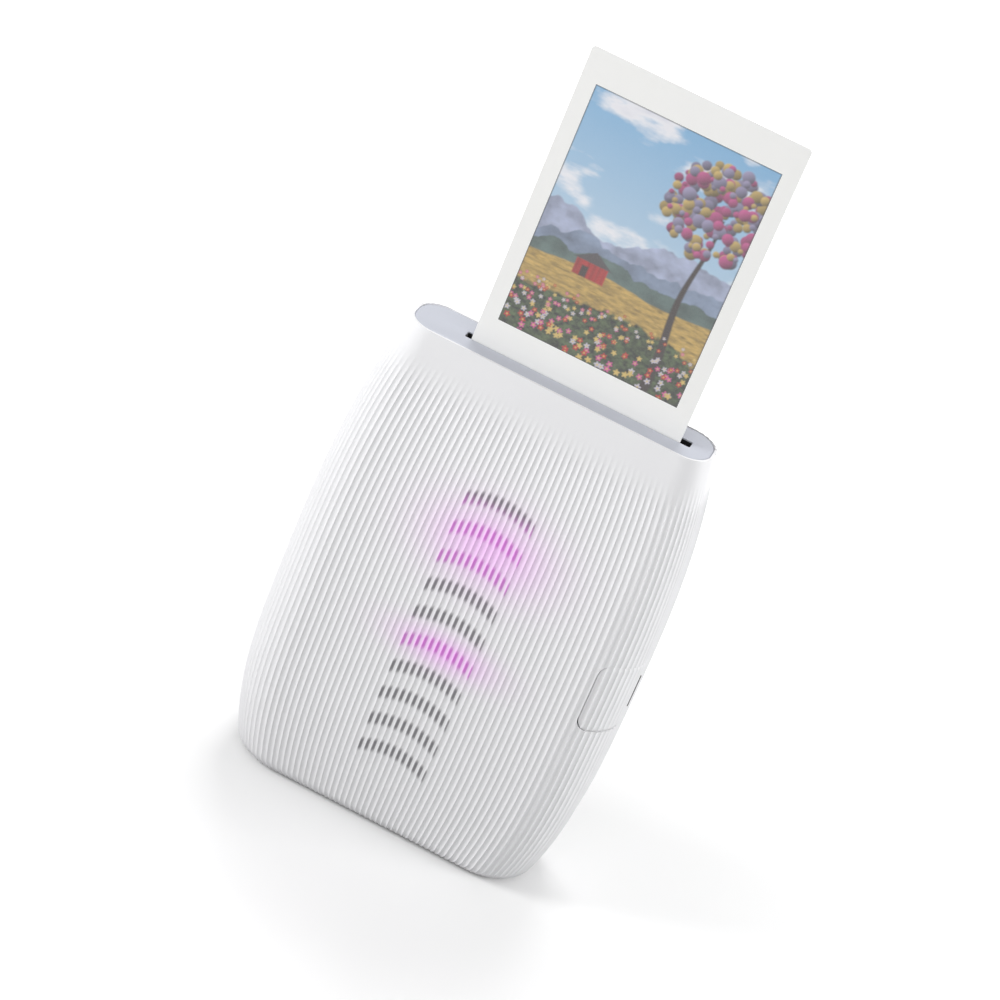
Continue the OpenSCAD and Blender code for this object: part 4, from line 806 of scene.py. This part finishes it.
class PRINTER_OT_cap(bpy.types.Operator):
    """Top cap with a rolled rim, the slot that the film leaves by, and a black sheet in the slot
    that paints its shade
    """

    bl_idname = "printer.cap"
    bl_label = "Top cap"

    RIM, SLOT_RIM, THICK = 0.45 * MM, 0.18 * MM, 2 * MM
    LEAD, SHIFT, SLOT_CORNER = 0.2 * MM, 0.4 * MM, 0.5 * MM
    # Black sheet round the slot's walls: painted shade deep in the slot
    LINING, LINING_TOP, LINING_DEEP = 0.11 * MM, 0.35 * MM, 7 * MM
    COLS, TURNS = 480, 6

    def execute(self, context):
        form, _, detail, colours = printer(context)
        share = np.linspace(-1, 1, self.COLS, endpoint=False)
        rim = [float(v) for v in form.section(BODY_TOP, CAP_LIP + detail.cap_gap)]
        half = detail.slot_depth / 2
        slot = [detail.slot_width / 2, half, half, self.SLOT_CORNER]
        middle = np.array([
            (FILM_LOW[0] + FILM_HIGH[0]) / 2 + self.SHIFT, FILM_LOW[1] - self.LEAD + half
        ])

        def loop(c, at, raised, down):
            """The outline c about the point at, raised outwards, `down` below the top."""
            whole = form.lengths(c)[3] + c[0] - c[3]
            x, y = form.point(c, share * whole, raised)
            return np.stack([x + at[0], y + at[1], np.full_like(x, BODY_TOP - down)], -1)

        turns = np.linspace(0, math.pi / 2, self.TURNS)
        loops = [loop(rim, (0, 0), 0, self.THICK)]
        loops += [loop(rim, (0, 0), -self.RIM * (1 - math.cos(t)), self.RIM * (1 - math.sin(t)))
                  for t in turns]
        loops += [loop(slot, middle, self.SLOT_RIM * (1 - math.cos(t)),
                       self.SLOT_RIM * (1 - math.sin(t))) for t in turns[::-1]]
        loops.append(loop(slot, middle, 0, self.THICK))
        cap = new_object("cap_skin", *ring(np.stack(loops)))
        shade(cap, CRISP_CAP)
        give(cap, moulded("cap_satin", tuple(colours.cap), 0.34, mottle=0.02))
        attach(cap, "case")
        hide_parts("top_cap")

        # Black sheet along the slot's walls, put in as painted shade inside the slot
        lining = [
            loop(slot, middle, raised, down)
            for raised, down in (
                (-0.01 * MM, self.LINING_DEEP), (-0.01 * MM, self.LINING_TOP),
                (-self.LINING, self.LINING_TOP), (-self.LINING, self.LINING_DEEP),
            )
        ]
        slot_lining = new_object("slot_lining", *ring(np.stack(lining)))
        shade(slot_lining, CRISP_CAP)
        give(slot_lining, felt("slot_pile", DEEP_BLACK))
        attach(slot_lining, "case")
        return {"FINISHED"}


class PRINTER_OT_rear(bpy.types.Operator):
    """Rear housing, film door, latch, window and base, in the finish of their solids and with
    their curves shaded smooth"""

    bl_idname = "printer.rear"
    bl_label = "Rear pieces"

    PIECES = {"rear_housing": "case", "film_door": "door", "door_latch": "latch",
              "door_window": "door", "base_cap": "case"}

    def execute(self, context):
        for node, body in self.PIECES.items():
            piece = merged_copy(node)
            weighted = piece.modifiers.new("even_shading", "WEIGHTED_NORMAL")
            weighted.keep_sharp = True
            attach(piece, body)
            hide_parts(node)
        return {"FINISHED"}


def merged_copy(node):
    """Copy of a CAD node with its loose facets merged, shaded smooth where neighbours meet at
    a shallow angle."""
    mesh = frame["nodes"][node].data.copy()
    mesh.name = node + "_skin"
    work = bmesh.new()
    work.from_mesh(mesh)
    bmesh.ops.remove_doubles(work, verts=work.verts, dist=0.002 * MM)
    work.to_mesh(mesh)
    work.free()
    piece = linked(node + "_skin", mesh)
    shade(piece, CRISP_REAR)
    return piece


class PRINTER_OT_print_picture(bpy.types.Operator):
    """Generic landscape in the print: sky, hills, a field, a tree and round flowers"""

    bl_idname = "printer.print_picture"
    bl_label = "Picture"

    COLS = 230
    ROWS = 310

    def execute(self, context):
        u, v = np.meshgrid(np.linspace(0, 1, self.COLS), np.linspace(0, 1, self.ROWS))
        size = IMAGE_HIGH - IMAGE_LOW
        points = np.stack([
            IMAGE_LOW[0] + size[0] * u, np.full_like(u, IMAGE_LOW[1]), IMAGE_LOW[2] + size[2] * v
        ], -1)
        points, faces = tile(points, size[1])
        picture = new_object("print_picture", points, faces)
        shades = paint_landscape(u, v)
        rgba = np.ones((len(points), 4))
        rgba[:u.size, :3] = shades.reshape(-1, 3)
        layer = picture.data.color_attributes.new("picture", "FLOAT_COLOR", "POINT")
        layer.data.foreach_set("color", rgba.astype(np.float32).ravel())
        finish = Finish("picture_gloss")
        dye = finish.nodes.new("ShaderNodeAttribute")
        dye.attribute_name = "picture"
        grain = finish.noise(0.22 * MM, 3.0)
        finish.drive("Base Color", finish.mix(finish.between(grain, 0.0, 0.07),
                                              dye.outputs["Color"], (0.75, 0.74, 0.78)))
        finish.drive("Roughness", finish.between(grain, 0.14, 0.24))
        finish.set(Coat_Weight=0.5, Coat_Roughness=0.06)
        give(picture, finish)
        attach(picture, "film")
        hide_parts("film_image")
        return {"FINISHED"}


class Cloud:
    """Smooth random field over the picture: random levels on a lattice, joined by an eased
    blend, with finer and fainter ones added to it."""

    def __init__(self, u, y):
        self.u, self.y = u, y

    def layer(self, seed, across, up):
        """One lattice of `across` by `up` cells to the picture's width."""
        x, y = self.u * across, self.y * up
        levels = np.random.default_rng(seed).uniform(-1, 1, (math.ceil(y.max()) + 2, across + 2))
        i, j = np.floor(y).astype(int), np.floor(x).astype(int)
        a, b = smooth(y - i), smooth(x - j)
        low = levels[i, j] * (1 - b) + levels[i, j + 1] * b
        high = levels[i + 1, j] * (1 - b) + levels[i + 1, j + 1] * b
        return low * (1 - a) + high * a

    def field(self, seed, across, up, octaves=4):
        """Layers that double in fineness and halve in strength."""
        return sum(self.layer(seed + k, across * 2**k, up * 2**k) / 2**k for k in range(octaves))


BLOSSOMS, FLOWERS = 230, 210


def paint_landscape(u, v):
    """Colours over the unit square, in linear light: each motif is a soft mask laid over the
    last one. u runs to the right and v runs up."""
    aspect = float((IMAGE_HIGH - IMAGE_LOW)[2] / (IMAGE_HIGH - IMAGE_LOW)[0])
    y = v * aspect
    cloud = Cloud(u, y)
    random = np.random.default_rng(7)

    def lay(mask, tone):
        """Lays a tone over the canvas as far as the mask goes."""
        nonlocal canvas
        mask = np.clip(mask, 0, 1)[..., None]
        canvas = canvas * (1 - mask) + np.clip(tone, 0, 1) * mask

    def varied(tone, level, spread, *field):
        """The tone, made lighter and darker by a random field."""
        return np.array(tone) * (level + spread * cloud.field(*field)[..., None])

    def soft(distance, width=0.006):
        """A mask that is one inside a shape, from the distance to its edge."""
        return smooth(0.5 - distance / width / 2)

    def ridge(seed, level, height, across):
        """Height of a hill line along the picture."""
        return level + height * Cloud(u, 0 * y).field(seed, across, 1, 5)

    sky = v[..., None] ** 0.8
    canvas = np.array([0.20, 0.42, 0.66]) * sky + np.array([0.72, 0.80, 0.84]) * (1 - sky)
    puffs = cloud.field(21, 3, 7, 6) + 0.8 * (v - 0.72)
    lay(smooth((puffs - 0.05) / 0.8) * 0.92, (0.90, 0.88, 0.90))
    lay(smooth((puffs - 0.62) / 0.9) * 0.5, (0.52, 0.54, 0.66))
    for seed, level, height, across, tone in (
        (31, 0.70, 0.075, 3, (0.34, 0.38, 0.52)),
        (32, 0.60, 0.055, 4, (0.19, 0.24, 0.34)),
        (33, 0.52, 0.035, 5, (0.085, 0.13, 0.12)),
    ):
        line = ridge(seed, level, height, across)
        lay(soft(y - line), varied(tone, 1, 0.30, seed + 9, 12, 16))
    field = ridge(34, 0.45, 0.012, 3)
    lay(soft(y - field), varied((0.50, 0.33, 0.085), 0.85, 0.30, 41, 26, 90, 3))
    ground = ridge(35, 0.27, 0.03, 4) + 0.012 * cloud.field(36, 40, 40, 2)
    lay(soft(y - ground, 0.012), varied((0.050, 0.075, 0.028), 0.8, 0.75, 43, 46, 60, 3))
    # A small red barn on the field, its roof and door
    wall = np.maximum(np.abs(u - 0.33) - 0.085, np.abs(y - 0.455) - 0.045)
    lay(soft(wall), varied((0.42, 0.022, 0.020), 0.85, 0.25, 44, 70, 4, 2))
    roof = np.maximum(np.abs(u - 0.33) * 0.62 + (y - 0.56), 0.497 - y)
    lay(soft(roof), (0.065, 0.055, 0.060))
    door = np.maximum(np.abs(u - 0.30) - 0.018, np.abs(y - 0.44) - 0.03)
    lay(soft(door), (0.035, 0.020, 0.018))
    # A dark tree that leans in from the right, with round blossom in three tones
    trunk = np.abs(u - 0.80 - 0.06 * (y - 0.3) ** 2 - 0.012 * np.sin(9 * y)) - 0.020 * (1.3 - y)
    lay(soft(np.maximum(trunk, y - 1.0)), (0.028, 0.017, 0.014))
    tones = ((0.50, 0.085, 0.25), (0.30, 0.27, 0.42), (0.56, 0.40, 0.13))
    for k in range(BLOSSOMS):
        turn, far_out = random.uniform(0, 2 * math.pi), random.uniform(0, 1) ** 0.55
        cx = 0.80 + 0.27 * far_out * math.cos(turn)
        cy = 1.02 + 0.25 * far_out * math.sin(turn)
        r = random.uniform(0.012, 0.036)
        distance = np.hypot(u - cx, y - cy) - r
        lit = 0.70 + 0.55 * np.clip(((u - cx) * -0.6 + (y - cy) * 0.8) / r, -1, 1)[..., None]
        deep = 0.6 + 0.4 * k / BLOSSOMS
        lay(soft(distance), np.array(tones[k % 3]) * lit * deep)
    # Flowers in the foreground, larger toward the lower edge
    tones = ((0.60, 0.10, 0.30), (0.62, 0.44, 0.14), (0.56, 0.52, 0.60), (0.46, 0.016, 0.02))
    for k in range(FLOWERS):
        cy = 0.31 * (1 - k / FLOWERS) ** 0.8 + random.uniform(-0.015, 0.015)
        cx = random.uniform(0, 1)
        r = 0.008 + 0.034 * (0.33 - cy)
        turn = np.arctan2(y - cy, u - cx)
        petals = np.hypot(u - cx, y - cy) - r * (0.78 + 0.22 * np.cos(5 * turn + k))
        lay(soft(petals + 0.2 * r, 0.010) * 0.5, (0.02, 0.03, 0.012))
        lay(soft(petals, 0.004), tones[k % 4])
        lay(soft(np.hypot(u - cx, y - cy) - r * 0.26, 0.004), (0.62, 0.47, 0.12))
    edge = np.minimum(np.minimum(u, 1 - u), np.minimum(v, 1 - v) * aspect)
    lay(1 - smooth(edge / 0.008), (0.02, 0.02, 0.024))
    return canvas.clip(0, 1)


class PRINTER_OT_solids(bpy.types.Operator):
    """Finishes for the CAD solids that show as they are"""

    bl_idname = "printer.solids"
    bl_label = "Finishes"

    def execute(self, context):
        finishes = plain_finishes(context.scene.printer_colours)
        for name, obj in frame["nodes"].items():
            give(obj, finishes[slots[name]])
            shade(obj, CRISP_SOLID)
        return {"FINISHED"}


# ---- studio ----


class PRINTER_OT_studio(bpy.types.Operator):
    """Pale floor, soft lamps and the camera"""

    bl_idname = "printer.studio"
    bl_label = "Studio"

    YAW, PITCH, ROLL = math.radians(7.369), math.radians(27.451), math.radians(23.302)
    FOCAL = 3.2957
    DISTANCE = 785 * MM
    AIM = Vector((0, 0, 75 * MM))
    SHIFT = (-2.21 * MM, 12.51 * MM)
    SENSOR = 36
    FILL = 0.47
    # Floor colours: painted shade near the printer, white and a glow far out, mid grey for thrown
    # light
    FLOOR_NEAR, FLOOR_FAR, FLOOR_THROWN = (0.93,) * 3, (1.0,) * 3, (0.45,) * 3
    FLOOR_SPREAD, FLOOR_GLOW, FLOOR_HALF = (0.06, 0.32), 0.6, 3.0
    LIT_POINT = Vector((0, 0, 80 * MM))
    LAMPS = (
        ("key_lamp", (-1.10, -0.50, 0.60), 0.5, 9.6),
        ("rim_lamp", (1.10, 0.22, 0.35), 0.5, 6.8),
        ("top_lamp", (-0.10, 0.42, 1.10), 0.35, 4.2),
        ("front_lamp", (0.10, -1.20, 0.70), 0.9, 3.6),
    )

    def camera(self, context):
        """Camera that looks down on the front: its rows are right, down and forward, turned
        about the view axis by the roll."""
        yaw, pitch, roll = self.YAW, self.PITCH, self.ROLL
        forward = Vector((
            -math.sin(yaw) * math.cos(pitch), math.cos(yaw) * math.cos(pitch), -math.sin(pitch)
        ))
        right = Vector((math.cos(yaw), math.sin(yaw), 0))
        down = forward.cross(right)
        across = right * math.cos(roll) - down * math.sin(roll)
        below = right * math.sin(roll) + down * math.cos(roll)
        place = self.AIM - across * self.SHIFT[0] - below * self.SHIFT[1] - forward * self.DISTANCE
        data = bpy.data.cameras.new("studio_camera")
        data.sensor_width = self.SENSOR
        data.lens = self.FOCAL * self.SENSOR
        data.clip_start = 0.01
        camera = linked("studio_camera", data)
        columns = Matrix((across, -below, -forward)).transposed()
        camera.matrix_world = Matrix.Translation(place) @ columns.to_4x4()
        context.scene.camera = camera

    def lamp(self, name, place, size, power):
        """Square area lamp that points at the printer."""
        data = bpy.data.lights.new(name, "AREA")
        data.energy = power
        data.size = size
        lamp = linked(name, data)
        direction = self.LIT_POINT - Vector(place)
        lamp.matrix_world = (
            Matrix.Translation(place) @ direction.to_track_quat("-Z", "Y").to_matrix().to_4x4()
        )

    def backdrop(self):
        """Floor that keeps the shadow near the printer: for the camera and for reflections it is
        painted a shade darker near the printer, a painted shade, and runs out into white and a
        glow, and it is mid grey to the light that it throws back."""
        half = self.FLOOR_HALF
        points = [(-half, -half, 0), (half, -half, 0), (half, half, 0), (-half, half, 0)]
        floor = new_object("floor", points, [(0, 1, 2, 3)])
        finish = Finish("floor_white")
        finish.set(Roughness=0.9, Specular_IOR_Level=0.0)
        seen = self.seen(finish.nodes, finish.links)
        x, y, _ = finish.parts(finish.place)
        out = finish.math("SQRT", finish.math("ADD", finish.math("POWER", x, 2.0),
                                              finish.math("POWER", y, 2.0)))
        far = finish.ramp(out, *self.FLOOR_SPREAD)
        # Painted shade near the printer, running out to white
        shown = finish.mix(far, self.FLOOR_NEAR, self.FLOOR_FAR)
        finish.drive("Base Color", finish.mix(seen, self.FLOOR_THROWN, shown))
        finish.set(Emission_Color=(1.0, 1.0, 1.0))
        glow = finish.math("MULTIPLY", far, self.FLOOR_GLOW)
        finish.drive("Emission Strength", finish.math("MULTIPLY", seen, glow))
        give(floor, finish)

    def seen(self, nodes, links):
        """One where the camera, a reflection or something clear looks, and nothing elsewhere."""
        path = nodes.new("ShaderNodeLightPath")
        share = path.outputs["Is Camera Ray"]
        for other in ("Is Glossy Ray", "Is Transmission Ray"):
            either = nodes.new("ShaderNodeMath")
            either.operation = "MAXIMUM"
            links.new(share, either.inputs[0])
            links.new(path.outputs[other], either.inputs[1])
            share = either.outputs[0]
        return share

    def execute(self, context):
        scene = context.scene
        self.camera(context)
        self.backdrop()
        for lamp in self.LAMPS:
            self.lamp(*lamp)
        world = bpy.data.worlds.new("studio")
        world.use_nodes = True
        nodes, links = world.node_tree.nodes, world.node_tree.links
        strength = nodes.new("ShaderNodeMapRange")
        strength.inputs["To Min"].default_value = self.FILL
        strength.inputs["To Max"].default_value = 1.0
        links.new(self.seen(nodes, links), strength.inputs["Value"])
        links.new(strength.outputs["Result"], nodes["Background"].inputs["Strength"])
        nodes["Background"].inputs["Color"].default_value = (1, 1, 1, 1)
        scene.world = world
        scene.view_settings.view_transform = "Standard"
        return {"FINISHED"}


class PRINTER_PT_panel(bpy.types.Panel):
    """Builds the printer piece by piece"""

    bl_idname = "PRINTER_PT_panel"
    bl_label = "Photo printer"
    bl_space_type = "VIEW_3D"
    bl_region_type = "UI"
    bl_category = "Printer"

    def draw(self, context):
        for name in GROUPS:
            group = getattr(context.scene, name)
            box = self.layout.box()
            for label in group.__annotations__:
                box.prop(group, label)
        for operator in OPERATORS:
            self.layout.operator(operator.bl_idname)


GROUPS = {
    "printer_form": PrinterForm,
    "printer_detail": PrinterDetail,
    "printer_colours": PrinterColours,
}
OPERATORS = (
    PRINTER_OT_solids,
    PRINTER_OT_front_shell,
    PRINTER_OT_power_key,
    PRINTER_OT_key_line,
    PRINTER_OT_cap,
    PRINTER_OT_rear,
    PRINTER_OT_print_picture,
    PRINTER_OT_studio,
)


def register():
    for name, group in GROUPS.items():
        bpy.utils.register_class(group)
        setattr(bpy.types.Scene, name, bpy.props.PointerProperty(type=group))
    for operator in OPERATORS:
        bpy.utils.register_class(operator)
    bpy.utils.register_class(PRINTER_PT_panel)


def unregister():
    bpy.utils.unregister_class(PRINTER_PT_panel)
    for operator in reversed(OPERATORS):
        bpy.utils.unregister_class(operator)
    for name, group in GROUPS.items():
        delattr(bpy.types.Scene, name)
        bpy.utils.unregister_class(group)


def main():
    """Builds every piece in order."""
    register()
    bpy.ops.printer.solids()
    bpy.ops.printer.front_shell()
    bpy.ops.printer.power_key()
    bpy.ops.printer.key_line()
    bpy.ops.printer.cap()
    bpy.ops.printer.rear()
    bpy.ops.printer.print_picture()
    bpy.ops.printer.studio()


if __name__ == "__main__":
    main()
